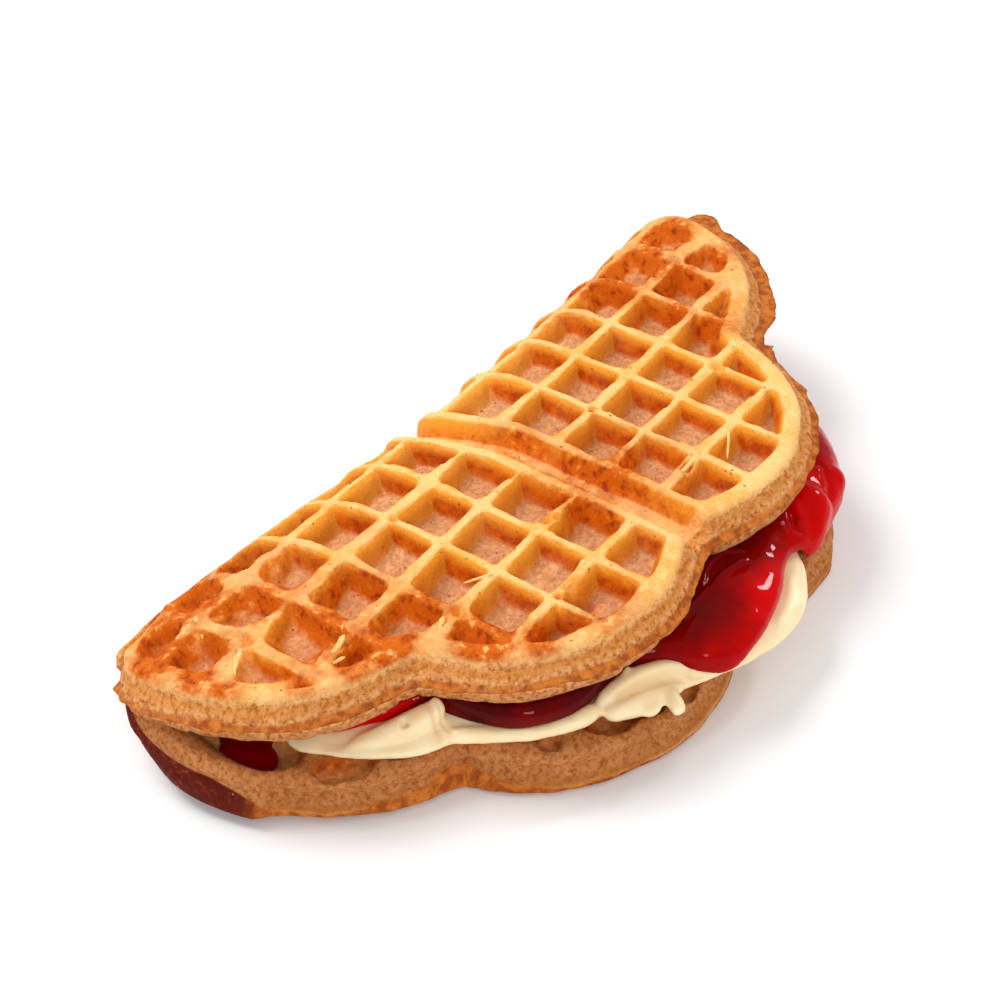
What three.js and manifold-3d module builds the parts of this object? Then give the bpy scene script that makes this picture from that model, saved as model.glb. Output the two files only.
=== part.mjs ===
// A heart waffle folded in half over whipped cream and red jam.
// Millimetres, +Z up. X runs along the fold, the open side faces -Y, and the
// lower half lies on the ground. The origin is on the ground, under the middle
// of the part's box.
//
// The waffle is built flat and then folded. Flat, it lies in the XY plane with
// its outer face up at z = 0 and its inner face at z = -THICKNESS. Its upper
// half reaches towards -Y and its lower half towards +Y.

import * as THREE from 'three';
import { mergeVertices } from 'three/addons/utils/BufferGeometryUtils.js';
import Module from 'manifold-3d';

// Grid and outline of one heart, measured from the heart's tip.
const CELL = 12.6;                    // ridge to ridge
const GROOVE_HALF = 0.42 * CELL;      // centre line of the groove to a heart's edge ridge
const LOBE_ALONG = 3.6 * CELL;        // lobe centre, along the heart's straight edge
const LOBE_ACROSS = 1.26 * CELL;      // lobe centre, away from that edge
const LOBE_RADIUS = 2.42 * CELL;      // to the middle of the rim ridge
const CELLS_PER_SIDE = 6;
const LOBE_STEPS = 7;

// Section of the waffle.
const THICKNESS = 0.8 * CELL;
const RIDGE_HALF = 0.13 * CELL;       // half the flat top of a ridge
const WALL_DRAFT = 0.1 * CELL;        // how far a well's wall leans in
const OUTER_WELL_DEPTH = 0.37 * CELL;
const INNER_WELL_DEPTH = 0.26 * CELL;
const GROOVE_DEPTH = 0.31 * CELL;     // channel between two hearts
const CUT_REACH = 1;                  // cutting shapes stand this far proud of a face
const MIN_WELL_AREA = 0.12;           // of a full well: slivers at the rim stay solid
const INNER_WELL_REACH = 4 * CELL;    // nearer the middle the filling hides the inner face

// Rim rings, in cells: depth below the outer face, distance out from the rim ridge round
// the upper half and round the lower half, and how much of a run-out reaches the ring.
const RIM_RINGS = [
  { depth: 0, upper: 0.14, lower: 0.2, flash: 0, skirt: 0.8 },
  { depth: 0.1, upper: 0.22, lower: 0.31, flash: 0, skirt: 1 },
  { depth: 0.26, upper: 0.34, lower: 0.3, flash: 0.2, skirt: 1 },
  { depth: 0.38, upper: 0.47, lower: 0.24, flash: 1, skirt: 0.9 },  // the iron's thin seam
  { depth: 0.45, upper: 0.39, lower: 0.22, flash: 0.3, skirt: 0.8 },
  { depth: 0.64, upper: 0.37, lower: 0.29, flash: 0, skirt: 0.7 },
  { depth: 0.8, upper: 0.2, lower: 0.18, flash: 0, skirt: 0.6 },
];
const RIM_OUTER = 0.5 * CELL;         // outline that the rings are measured against
const LOWER_RIM_START = 1.5 * CELL;   // y at which the lower half's rim sets in
const LOWER_RIM_BLEND = 0.8 * CELL;

// Where batter ran out of the iron, and the left end of the bend, where the rim is drawn
// in: place and radius, and how far out, in cells, or what share of the rim is lost.
const FLASH = { x: 6.2 * CELL, y: -2 * CELL, radius: 1.1 * CELL, width: 0.25 };
const SKIRT = { x: -6.4 * CELL, y: 2.08 * CELL, radius: 0.45 * CELL, width: 0.38 };
const TUCKED_RIM = { x: -6.3 * CELL, y: 0.9 * CELL, radius: 0.7 * CELL, share: 0.8 };

// The fold.
const HEIGHT = 2.37 * CELL;           // outside, at the middle of the length
const FOLD_START = 2.06 * CELL;       // where the flat upper half ends
const FOLD_APEX = 0.28 * CELL;        // where the fold points straight back
const LOWER_START = 1.5 * CELL;       // where the flat lower half begins
const HALF_LENGTH = 6 * CELL;         // scale for the sag and the changes below
const LEFT_BACK = 0.77 * CELL;        // towards -X the bend reaches further back,
const LEFT_START = 1.42 * CELL;       // begins nearer the front,
const LEFT_APEX = 1.2 * CELL;         // turns further round
const LEFT_LOWER = 0.9 * CELL;        // and ends further along the lower half
const LEFT_EASE = 0.02;               // how softly that sets in at x = 0
const BACK_SWELL = 0.12 * CELL;       // the bend's outside stands this far proud
const TUCK_START = 4.9 * CELL;        // beyond this, towards -X, its tip draws in
const TUCK_REACH = 1.5 * CELL;
const TUCK = 0.2 * CELL;
const LEFT_SAG = 0.36 * CELL;         // the upper half hangs lower at -X
const RIGHT_LIFT = 0.29 * CELL;       // and higher at +X
const CURL_START = 3.5 * CELL;        // the lower half curls up beyond this, at -X
const CURL_HEIGHT = 0.1 * CELL;
const CURL_REACH = 3 * CELL;
const LOWER_TURN = 1.9;               // degrees, the lower half lies slightly askew
const TURN_REACH = 2.4 * CELL;        // the turn builds up over this much of the bend
const PINCH = 0.8;                    // share of the bend radius that the batter may fill

// Extra cuts across the flat waffle where it bends, so that the bend is round.
const MERGE_DISTANCE = 0.02;          // points this near a cut count as on it
const BEND_LINES = 6;
const FIRST_BEND_LINE = -2.1 * CELL;
const LAST_BEND_LINE = 3.3 * CELL;
const SAG_LINES = 1;                  // and to each side of the middle, for the sag

// Filling: front edges of the cream and of the jam, as [x, y] in cells.
const CLEARANCE = 0.4;                // gap between the pieces
const FILLING_BACK = -2.2 * CELL;     // both end here, at the bend
const FILLING_BACK_LEFT = 0.55 * CELL; // and further forward at -X
const CREAM_THICKNESS = 0.34 * CELL;
const CREAM_SHARE = 0.55;             // of the gap, where the gap is narrow
const CREAM_ROUND = 0.4 * CELL;       // how far in from its edge the cream rounds off
const CREAM_RISE = 0.3;               // cells over which the jam climbs onto the cream
const ROOF_CLEARANCE = 0.9;           // more room above, where the upper half sags
const CREAM_EDGE = [
  [-5.9, -3.3], [-5.7, -4.1], [-5.3, -4.7], [-4.6, -5.15], [-4.1, -5.4], [-3.6, -6.05],
  [-2.9, -6.5], [-2.3, -6.85], [-1.6, -7.2], [-0.8, -7.55], [0.2, -7.75], [1, -7.7],
  [1.8, -7.1], [2.8, -6.6], [3.6, -5.9], [4.4, -5], [5, -3.9], [5.4, -2.9],
];
const JAM_EDGE = [
  [-6.4, -3], [-5.9, -3.6], [-5.3, -4], [-4.7, -4.45], [-4.2, -4.9], [-3.9, -5.65],
  [-3.2, -6.05], [-2.5, -6.3], [-1.9, -6.5], [-1.4, -7.05], [-0.9, -7.5], [-0.1, -7.6],
  [0.6, -7.4], [1.3, -7.2], [2, -7.3], [2.9, -7.1], [3.5, -6.85], [4.1, -6.3],
  [4.6, -5.6], [5, -4.6], [5.4, -3.7], [5.7, -2.9],
];
const JAM_ROUND_LEFT = 0.5 * CELL;    // how far in from its edge the jam rounds off
const JAM_ROUND_RIGHT = 1.2 * CELL;   // the thick slab that bulges out at +X
const JAM_BULGE_RISE = 2 * CELL;      // and how long it takes to build up towards x = 0
const END_ROUND = 0.8 * CELL;         // both thin out over this length at their ends
const END_SHARE = 0.3;                // down to this share of their height
const FILLING_STATIONS = 20;
const ROUND_STEPS = 4;
const EDGE_FOOT = 0.3;                // height at which the edge turns under, as a share

const COLOURS = { waffle: 0xd9a25c, cream: 0xf3e9d2, jam: 0xa50d12 };

const wasm = await Module();
wasm.setup();

// ---------------------------------------------------------------- helpers

/** A closed indexed geometry as a solid for joining and cutting. */
function toSolid(geometry) {
  const bare = geometry.clone();
  bare.deleteAttribute('normal');
  bare.deleteAttribute('uv');
  const merged = mergeVertices(bare, 1e-4);
  return new wasm.Manifold(new wasm.Mesh({
    numProp: 3,
    vertProperties: new Float32Array(merged.attributes.position.array),
    triVerts: new Uint32Array(merged.index.array),
  }));
}

/** Vertices and triangles of a solid, as plain arrays. */
function fromSolid(solid) {
  const mesh = solid.getMesh();
  const points = [];
  for (let i = 0; i < mesh.vertProperties.length; i += mesh.numProp) {
    points.push([...mesh.vertProperties.slice(i, i + 3)]);
  }
  const triangles = [];
  for (let i = 0; i < mesh.triVerts.length; i += 3) {
    triangles.push([...mesh.triVerts.slice(i, i + 3)]);
  }
  return { points, triangles };
}

function toGeometry(points, triangles) {
  const geometry = new THREE.BufferGeometry();
  geometry.setAttribute('position', new THREE.Float32BufferAttribute(points.flat(), 3));
  geometry.setIndex(triangles.flat());
  geometry.computeVertexNormals();
  return geometry;
}

/** Closed body through rings of equally many points, from bottom to top. */
function loft(rings) {
  const count = rings[0].length;
  const points = rings.flat();
  const triangles = [];
  for (let r = 0; r + 1 < rings.length; r += 1) {
    for (let i = 0; i < count; i += 1) {
      const j = (i + 1) % count;
      const a = r * count;
      const b = a + count;
      triangles.push([a + i, a + j, b + j], [a + i, b + j, b + i]);
    }
  }
  const cap = (ring) => THREE.ShapeUtils.triangulateShape(
    ring.map(([x, y]) => new THREE.Vector2(x, y)), []);
  const last = (rings.length - 1) * count;
  cap(rings[0]).forEach(([a, b, c]) => triangles.push([a, c, b]));
  cap(rings[rings.length - 1]).forEach(([a, b, c]) => triangles.push([last + a, last + b, last + c]));
  return toGeometry(points, triangles);
}

const smooth = (t) => {
  const s = Math.min(Math.max(t, 0), 1);
  return s * s * (3 - 2 * s);
};

// ---------------------------------------------------------------- flat waffle

/** Where the lobe circle, grown by `out`, crosses the heart's diagonal. */
function notchDistance(out) {
  const radius = LOBE_RADIUS + out;
  const sum = LOBE_ALONG + LOBE_ACROSS;
  const rest = LOBE_ALONG ** 2 + LOBE_ACROSS ** 2 - radius ** 2;
  return (sum + Math.sqrt(sum * sum - 2 * rest)) / 2;
}

/** Arc of the lobe from where it leaves `across` to the notch on the diagonal. */
function lobeArc(out, across) {
  const radius = LOBE_RADIUS + out;
  const notch = notchDistance(out);
  const start = Math.asin((across - LOBE_ACROSS) / radius);
  const end = Math.atan2(notch - LOBE_ACROSS, notch - LOBE_ALONG);
  const points = [];
  for (let i = 0; i <= LOBE_STEPS; i += 1) {
    const angle = start + (end - start) * (i / LOBE_STEPS);
    points.push([
      LOBE_ALONG + radius * Math.cos(angle),
      LOBE_ACROSS + radius * Math.sin(angle),
    ]);
  }
  return points;
}

/** The arc and its mirror image in the heart's diagonal, as one run of points. */
function bothLobes(arc) {
  const mirrored = arc.slice(0, -1).reverse().map(([a, b]) => [b, a]);
  return [...arc, ...mirrored];
}

/** Outline of one heart, its tip at the groove crossing's side. */
function heartOutline(out) {
  const lobes = bothLobes(lobeArc(out, -out));
  return [[-out, -out], ...lobes].map(([a, b]) => [a + GROOVE_HALF, b + GROOVE_HALF]);
}

/** Outline of the four hearts together. */
function waffleOutline(out) {
  const quarter = bothLobes(lobeArc(out, -GROOVE_HALF))
    .slice(0, -1)
    .map(([a, b]) => [a + GROOVE_HALF, b + GROOVE_HALF]);
  const turns = [[1, 0], [0, 1], [-1, 0], [0, -1]];
  return turns.flatMap(([c, s]) => quarter.map(([a, b]) => [c * a - s * b, s * a + c * b]));
}

const atHeight = (outline, z) => outline.map(([x, y]) => [x, y, z]);

/** How much of something round a place is felt at (x, y): 1 in its middle, 0 far off. */
function nearness(x, y, place) {
  return Math.exp(-(((x - place.x) ** 2 + (y - place.y) ** 2) / place.radius ** 2));
}

function rimRing({ depth, upper, lower, flash, skirt }) {
  const outer = waffleOutline(RIM_OUTER);
  const points = waffleOutline(0).map(([x, y], i) => {
    const below = smooth((y - LOWER_RIM_START) / LOWER_RIM_BLEND);
    const spread = flash * FLASH.width * nearness(x, y, FLASH)
      + skirt * SKIRT.width * nearness(x, y, SKIRT);
    const out = THREE.MathUtils.lerp(upper, lower, below) + spread;
    const kept = 1 - TUCKED_RIM.share * nearness(x, y, TUCKED_RIM);
    const share = out * kept * (CELL / RIM_OUTER);
    return [x + (outer[i][0] - x) * share, y + (outer[i][1] - y) * share];
  });
  return atHeight(points, -depth * CELL);
}

function flatBlank() {
  return toSolid(loft(RIM_RINGS.map(rimRing).reverse()));
}

/** Square pit with leaning walls, open at its wide end. */
function well(centreX, centreY, depth, side) {
  const wide = CELL / 2 - RIDGE_HALF + WALL_DRAFT * (CUT_REACH / depth);
  const narrow = CELL / 2 - RIDGE_HALF - WALL_DRAFT;
  const pit = new THREE.CylinderGeometry(
    wide * Math.SQRT2, narrow * Math.SQRT2, depth + CUT_REACH, 4, 1);
  pit.rotateX(Math.PI / 2);
  pit.rotateZ(Math.PI / 4);
  pit.translate(0, 0, (CUT_REACH - depth) / 2);
  if (side < 0) {
    pit.rotateX(Math.PI);
    pit.translate(0, 0, -THICKNESS);
  }
  pit.translate(centreX, centreY, 0);
  return pit;
}

/** What the rim leaves free for the wells of one heart, on one face. */
function wellLimit(depth, side) {
  const top = heartOutline(WALL_DRAFT * (CUT_REACH / depth) - RIDGE_HALF);
  const bottom = heartOutline(-RIDGE_HALF - WALL_DRAFT);
  const rings = side > 0
    ? [atHeight(bottom, -depth), atHeight(top, CUT_REACH)]
    : [atHeight(top, -THICKNESS - CUT_REACH), atHeight(bottom, -THICKNESS + depth)];
  return toSolid(loft(rings));
}

/** The wells of the heart in the first quarter, on one face, from `from` outwards. */
function heartWells(depth, side, from) {
  const limit = wellLimit(depth, side);
  const full = (CELL - 2 * RIDGE_HALF) ** 2 * depth;
  const pits = [];
  for (let i = 0; i < CELLS_PER_SIDE; i += 1) {
    for (let j = 0; j < CELLS_PER_SIDE; j += 1) {
      const x = GROOVE_HALF + (i + 0.5) * CELL;
      const y = GROOVE_HALF + (j + 0.5) * CELL;
      if (Math.hypot(x, y) < from) {
        continue;
      }
      const pit = toSolid(well(x, y, depth, side)).intersect(limit);
      if (pit.volume() > MIN_WELL_AREA * full) {
        pits.push(pit);
      }
    }
  }
  return pits;
}

/** Channel between the hearts on the outer face, from rim to rim along Y. */
function groove() {
  const half = GROOVE_HALF - RIDGE_HALF;
  const length = 4 * LOBE_ALONG + 2 * LOBE_RADIUS;
  const wide = half + WALL_DRAFT * (CUT_REACH / GROOVE_DEPTH);
  const narrow = half - WALL_DRAFT;
  const shape = new THREE.Shape([
    new THREE.Vector2(-wide, CUT_REACH),
    new THREE.Vector2(-narrow, -GROOVE_DEPTH),
    new THREE.Vector2(narrow, -GROOVE_DEPTH),
    new THREE.Vector2(wide, CUT_REACH),
  ]);
  const channel = new THREE.ExtrudeGeometry(shape, { depth: length, bevelEnabled: false });
  channel.translate(0, 0, -length / 2);
  return channel.rotateX(Math.PI / 2);
}

function flatWaffle() {
  let body = flatBlank();
  for (const turn of [0, 90, 180, 270]) {
    for (const pit of heartWells(OUTER_WELL_DEPTH, 1, 0)) {
      body = body.subtract(pit.rotate([0, 0, turn]));
    }
  }
  for (const turn of [0, 90]) {
    for (const pit of heartWells(INNER_WELL_DEPTH, -1, INNER_WELL_REACH)) {
      body = body.subtract(pit.rotate([0, 0, turn]));
    }
    body = body.subtract(toSolid(groove()).rotate([0, 0, turn]));
  }
  return fromSolid(body);
}

/** Splits every triangle that crosses the plane where the given axis equals level. */
function scoreAcross({ points, triangles }, axis, level) {
  const vertices = [...points];
  const onEdge = new Map();
  const cross = (a, b) => {
    const key = a < b ? `${a},${b}` : `${b},${a}`;
    if (!onEdge.has(key)) {
      const [p, q] = a < b ? [vertices[a], vertices[b]] : [vertices[b], vertices[a]];
      const t = (level - p[axis]) / (q[axis] - p[axis]);
      onEdge.set(key, vertices.length);
      vertices.push(p.map((value, k) => value + (q[k] - value) * t));
    }
    return onEdge.get(key);
  };
  const sideOf = (i) => {
    const offset = vertices[i][axis] - level;
    return Math.abs(offset) < MERGE_DISTANCE ? 0 : Math.sign(offset);
  };
  const result = [];
  for (const triangle of triangles) {
    const sides = triangle.map(sideOf);
    if (sides.every((s) => s >= 0) || sides.every((s) => s <= 0)) {
      result.push(triangle);
      continue;
    }
    const zero = sides.indexOf(0);
    if (zero >= 0) {
      const [a, b, c] = [0, 1, 2].map((k) => triangle[(zero + k) % 3]);
      const m = cross(b, c);
      result.push([a, b, m], [a, m, c]);
      continue;
    }
    const lone = sides.findIndex((s) => sides.filter((t) => t === s).length === 1);
    const [a, b, c] = [0, 1, 2].map((k) => triangle[(lone + k) % 3]);
    const m = cross(a, b);
    const n = cross(a, c);
    result.push([a, m, n], [m, b, c], [m, c, n]);
  }
  return { points: vertices, triangles: result };
}

// ---------------------------------------------------------------- fold

/** Height of the underside and the top of the folded waffle, at x. */
function levels(x) {
  const share = (x / HALF_LENGTH) ** 2;
  const top = HEIGHT + (x < 0 ? -LEFT_SAG : RIGHT_LIFT) * share;
  const curl = Math.max((-x - CURL_START) / CURL_REACH, 0);
  return { bottom: CURL_HEIGHT * curl * curl, top };
}

/** How far the -X half of the fold differs from the rest: 0 at +X, 1 at -HALF_LENGTH. */
function leftward(x) {
  const share = -x / HALF_LENGTH;
  return (share + Math.sqrt(share * share + LEFT_EASE)) / 2;
}

/**
 * The bend at a flat distance `reach` towards the front of the upper half: the angle
 * round it, how deep that side of it is, how far back its tip lies, and how far past
 * it the place is.
 */
function bend(x, reach) {
  const left = leftward(x);
  const apex = FOLD_APEX - LEFT_APEX * left;
  const start = FOLD_START + LEFT_START * left;
  const lower = LOWER_START + LEFT_LOWER * left;
  const drawnIn = TUCK * smooth((-x - TUCK_START) / TUCK_REACH);
  const tip = HEIGHT / 2 - FOLD_START + BACK_SWELL + LEFT_BACK * left - drawnIn;
  const upper = reach > apex;
  const arc = upper ? start - apex : apex + lower;
  const deep = tip + (upper ? start : lower + FOLD_START - LOWER_START);
  const past = Math.max(upper ? reach - start : -lower - reach, 0);
  const angle = THREE.MathUtils.clamp((reach - apex) / arc, -1, 1) * (Math.PI / 2);
  return { angle, deep, tip, past };
}

/** Point on the outer face for the flat place (x, y), before its depth is taken. */
function outerFace(x, y) {
  const reach = -y;
  const { bottom, top } = levels(x);
  const { angle, deep, tip, past } = bend(x, reach);
  const back = tip - deep * (1 - Math.cos(angle)) - past;
  const height = bottom + (top - bottom) * (1 + Math.sin(angle)) / 2;
  const turn = THREE.MathUtils.degToRad(LOWER_TURN) * smooth((FOLD_APEX - reach) / TURN_REACH);
  return new THREE.Vector3(
    x * Math.cos(turn) - back * Math.sin(turn),
    x * Math.sin(turn) + back * Math.cos(turn),
    height,
  );
}

/** Smallest radius of the bend at the flat place (x, y). */
function bendRadius(x, y) {
  const { bottom, top } = levels(x);
  const { angle, deep, past } = bend(x, -y);
  const half = (top - bottom) / 2;
  const slope = (deep * Math.sin(angle)) ** 2 + (half * Math.cos(angle)) ** 2;
  return past > 0 ? Infinity : slope ** 1.5 / (deep * half);
}

/** Folds a point of the flat waffle. */
function fold([x, y, z]) {
  const step = CELL / 250;
  const at = outerFace(x, y);
  const alongX = outerFace(x + step, y).sub(outerFace(x - step, y));
  const alongY = outerFace(x, y + step).sub(outerFace(x, y - step));
  const normal = alongX.cross(alongY).normalize();
  const squeeze = Math.min(PINCH * bendRadius(x, y) / THICKNESS, 1);
  return at.addScaledVector(normal, z * squeeze).toArray();
}

function foldedWaffle() {
  let flat = flatWaffle();
  for (let i = 0; i <= BEND_LINES; i += 1) {
    const reach = THREE.MathUtils.lerp(FIRST_BEND_LINE, LAST_BEND_LINE, i / BEND_LINES);
    flat = scoreAcross(flat, 1, -reach);
  }
  for (let i = -SAG_LINES; i <= SAG_LINES; i += 1) {
    flat = scoreAcross(flat, 0, i * (HALF_LENGTH / (SAG_LINES + 1)));
  }
  return toGeometry(flat.points.map(fold), flat.triangles);
}

// ---------------------------------------------------------------- filling

/** Front edge of a filling, as y for each x, through the points given in cells. */
function edgeCurve(cells) {
  const curve = new THREE.CatmullRomCurve3(
    cells.map(([x, y]) => new THREE.Vector3(x * CELL, y * CELL, 0)));
  const samples = curve.getPoints(cells.length * 12);
  return (x) => {
    const next = samples.findIndex((p) => p.x >= x);
    if (next <= 0) {
      return samples[next < 0 ? samples.length - 1 : 0].y;
    }
    const [a, b] = [samples[next - 1], samples[next]];
    return THREE.MathUtils.mapLinear(x, a.x, b.x, a.y, b.y);
  };
}

const fillingBack = (x) => FILLING_BACK - FILLING_BACK_LEFT * leftward(x);
const creamEdge = edgeCurve(CREAM_EDGE);
const jamEdge = edgeCurve(JAM_EDGE);

/** Free height between the two inner faces at x. */
function gap(x) {
  const { bottom, top } = levels(x);
  return { floor: bottom + THICKNESS + CLEARANCE, roof: top - THICKNESS - ROOF_CLEARANCE };
}

function creamTop(x) {
  const { floor, roof } = gap(x);
  return floor + Math.min(CREAM_THICKNESS, CREAM_SHARE * (roof - floor));
}

/** The jam lies on the cream, and on the waffle where the cream ends short of it. */
function jamFloor(x, y) {
  const { floor } = gap(x);
  const onCream = creamTop(x) + CLEARANCE;
  const inX = smooth((x / CELL - CREAM_EDGE[0][0]) / CREAM_RISE + 2);
  const inY = smooth((y - creamEdge(x)) / (CREAM_RISE * CELL) + 1.2);
  return floor + (onCream - floor) * inX * inY;
}

/** Section, as [y, z]: forward over the top, round the front edge, back underneath. */
function fillingSection(back, front, round, floorAt, top) {
  const section = [];
  const inner = front + Math.min(round, (back - front) / 2);
  for (let i = 0; i <= ROUND_STEPS; i += 1) {
    section.push([back + (inner - back) * (i / ROUND_STEPS), top]);
  }
  for (let i = 1; i <= ROUND_STEPS; i += 1) {
    const angle = (i / ROUND_STEPS) * (Math.PI / 2);
    const y = inner + (front - inner) * Math.sin(angle);
    const low = floorAt(y) + EDGE_FOOT * (top - floorAt(front));
    section.push([y, low + (top - low) * Math.cos(angle)]);
  }
  const foot = front + EDGE_FOOT * (inner - front);
  for (let i = 0; i <= 2 * ROUND_STEPS; i += 1) {
    const share = (i / (2 * ROUND_STEPS)) ** 1.5;
    const y = foot + (back - foot) * share;
    section.push([y, floorAt(y)]);
  }
  return section;
}

/** Slab of filling between the ends of its edge, through its sections. */
function fillingSlab(edge, section) {
  const start = edge[0][0] * CELL;
  const end = edge.at(-1)[0] * CELL;
  const rings = [];
  for (let i = 0; i <= FILLING_STATIONS; i += 1) {
    const x = start + (end - start) * (i / FILLING_STATIONS);
    const inside = Math.min((x - start) / END_ROUND, (end - x) / END_ROUND, 1);
    const fullness = Math.max(Math.sqrt(1 - (1 - inside) ** 2), END_SHARE);
    rings.push(section(x, fullness).map(([y, z]) => [y, z, x]));
  }
  const slab = loft(rings);
  const axes = new THREE.Matrix4().makeBasis(
    new THREE.Vector3(0, 1, 0), new THREE.Vector3(0, 0, 1), new THREE.Vector3(1, 0, 0));
  return slab.applyMatrix4(axes);
}

function creamSlab() {
  return fillingSlab(CREAM_EDGE, (x, fullness) => {
    const { floor } = gap(x);
    const top = THREE.MathUtils.lerp(floor, creamTop(x), fullness);
    return fillingSection(fillingBack(x), creamEdge(x), CREAM_ROUND, () => floor, top);
  });
}

function jamSlab() {
  return fillingSlab(JAM_EDGE, (x, fullness) => {
    const bulge = smooth(x / JAM_BULGE_RISE + 1);
    const round = THREE.MathUtils.lerp(JAM_ROUND_LEFT, JAM_ROUND_RIGHT, bulge);
    const top = THREE.MathUtils.lerp(creamTop(x) + CLEARANCE, gap(x).roof, fullness);
    return fillingSection(fillingBack(x), jamEdge(x), round, (y) => jamFloor(x, y), top);
  });
}

// ---------------------------------------------------------------- the part

function piece(name, geometry, roughness) {
  const material = new THREE.MeshStandardMaterial({
    color: COLOURS[name], roughness, metalness: 0,
  });
  const mesh = new THREE.Mesh(geometry, material);
  mesh.name = name;
  return mesh;
}

const part = new THREE.Group();
part.add(piece('waffle', foldedWaffle(), 0.8));
part.add(piece('cream', creamSlab(), 0.45));
part.add(piece('jam', jamSlab(), 0.12));

const box = new THREE.Box3().setFromObject(part);
const middle = box.getCenter(new THREE.Vector3());
part.position.set(-middle.x, -middle.y, -box.min.z);

export default part;
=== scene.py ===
"""A heart waffle folded over cream and red jam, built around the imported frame.

The waffle is laid out flat, in cells of its iron's pattern, and then folded. Flat, its
outer face is up at z = 0, its upper half reaches towards -Y and its lower half towards +Y.
"""

from __future__ import annotations

import logging
import math
from dataclasses import dataclass, field
from enum import Enum
from typing import Callable

import bpy
import numpy as np
from mathutils import Matrix, Vector, noise

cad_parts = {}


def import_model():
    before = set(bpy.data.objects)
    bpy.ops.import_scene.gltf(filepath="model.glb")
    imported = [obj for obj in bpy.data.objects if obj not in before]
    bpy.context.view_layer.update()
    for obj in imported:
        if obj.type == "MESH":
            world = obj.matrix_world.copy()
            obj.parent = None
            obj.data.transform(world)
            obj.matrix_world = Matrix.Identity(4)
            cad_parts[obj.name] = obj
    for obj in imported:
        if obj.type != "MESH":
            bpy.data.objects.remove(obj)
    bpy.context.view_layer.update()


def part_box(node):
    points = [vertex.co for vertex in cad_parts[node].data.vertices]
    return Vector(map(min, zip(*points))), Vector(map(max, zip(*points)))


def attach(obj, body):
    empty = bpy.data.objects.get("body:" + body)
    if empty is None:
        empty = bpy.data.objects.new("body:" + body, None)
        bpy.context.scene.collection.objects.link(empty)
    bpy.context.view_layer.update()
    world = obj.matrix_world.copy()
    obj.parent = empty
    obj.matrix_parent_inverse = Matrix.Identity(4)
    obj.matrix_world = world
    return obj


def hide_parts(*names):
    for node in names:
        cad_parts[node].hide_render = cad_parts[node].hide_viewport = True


LOG = logging.getLogger("waffle")
CELL = 0.0126                  # metres from ridge to ridge
BODY = "root"
Array = np.ndarray
Colour = tuple[float, float, float, float]     # linear red, green, blue and alpha
Spot = tuple[float, float, float, float]       # x, y, radius and strength, in cells
Span = tuple[float, float]                     # where a step starts, and its length
Row = tuple[tuple[float, ...], ...]            # one tuple of numbers for each point
Creases = tuple[tuple[Row, float, float], ...]     # a run, its height and its width
Marks = dict[str, Array]                       # named numbers on vertices


# ------------------------------------------------------------------ numbers

def smooth(t: Array) -> Array:
    """Smooth step from 0 at t = 0 to 1 at t = 1."""
    s = np.clip(t, 0.0, 1.0)
    return s * s * (3.0 - 2.0 * s)


def ramp(value: Array, span: Span) -> Array:
    """Smooth step over a span."""
    return smooth((value - span[0]) / span[1])


def bell(distance: Array, width: float) -> Array:
    """Bell curve, 1 at distance 0."""
    return np.exp(-(distance / width) ** 2)


def spot(x: Array, y: Array, place: Spot) -> Array:
    """Strength of a round spot that fades out from its middle.

    Args:
        x, y: where to look.
        place: the spot.

    Returns:
        The strength at each point.
    """
    middle_x, middle_y, radius, strength = place
    return strength * bell(np.hypot(x - middle_x, y - middle_y), radius)


def linear(red: float, green: float, blue: float) -> Colour:
    """Turns a display colour of 0 to 255 into the scene's linear one.

    Args:
        red, green, blue: the display colour.

    Returns:
        Linear red, green, blue and an alpha of 1.
    """
    def channel(value: float) -> float:
        """One channel."""
        share = value / 255.0
        return share / 12.92 if share <= 0.04045 else ((share + 0.055) / 1.055) ** 2.4

    return channel(red), channel(green), channel(blue), 1.0


class Grain:
    """Smooth seeded noise on a plane, between about -1 and 1."""

    SIZE = 128
    SHIFT = 17.3                    # between one layer and the next
    STRENGTH = 1.5                  # of the layers together

    def __init__(self, seed: int) -> None:
        """Draws the values that the noise runs through."""
        rng = np.random.default_rng(seed)
        self.values = rng.uniform(-1.0, 1.0, (self.SIZE, self.SIZE))

    def at(self, x: Array, y: Array) -> Array:
        """Noise with one bump for each unit of x and y.

        Args:
            x, y: positions, which broadcast.

        Returns:
            The noise.
        """
        i, j = np.floor(x).astype(int), np.floor(y).astype(int)
        a, b = smooth(x - i), smooth(y - j)
        i0, i1 = i % self.SIZE, (i + 1) % self.SIZE
        j0, j1 = j % self.SIZE, (j + 1) % self.SIZE
        near = self.values[i0, j0] * (1 - a) + self.values[i1, j0] * a
        far = self.values[i0, j1] * (1 - a) + self.values[i1, j1] * a
        return near * (1 - b) + far * b

    def layered(self, x: Array, y: Array, layers: int = 3) -> Array:
        """Noise with finer layers, each twice as fine and half as strong.

        Args:
            x, y: positions, which broadcast.
            layers: how many layers.

        Returns:
            The noise.
        """
        total = np.zeros(np.broadcast(x, y).shape)
        for layer in range(layers):
            total += self.at(x * 2 ** layer + self.SHIFT * layer, y * 2 ** layer) / 2 ** layer
        return total / self.STRENGTH


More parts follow.
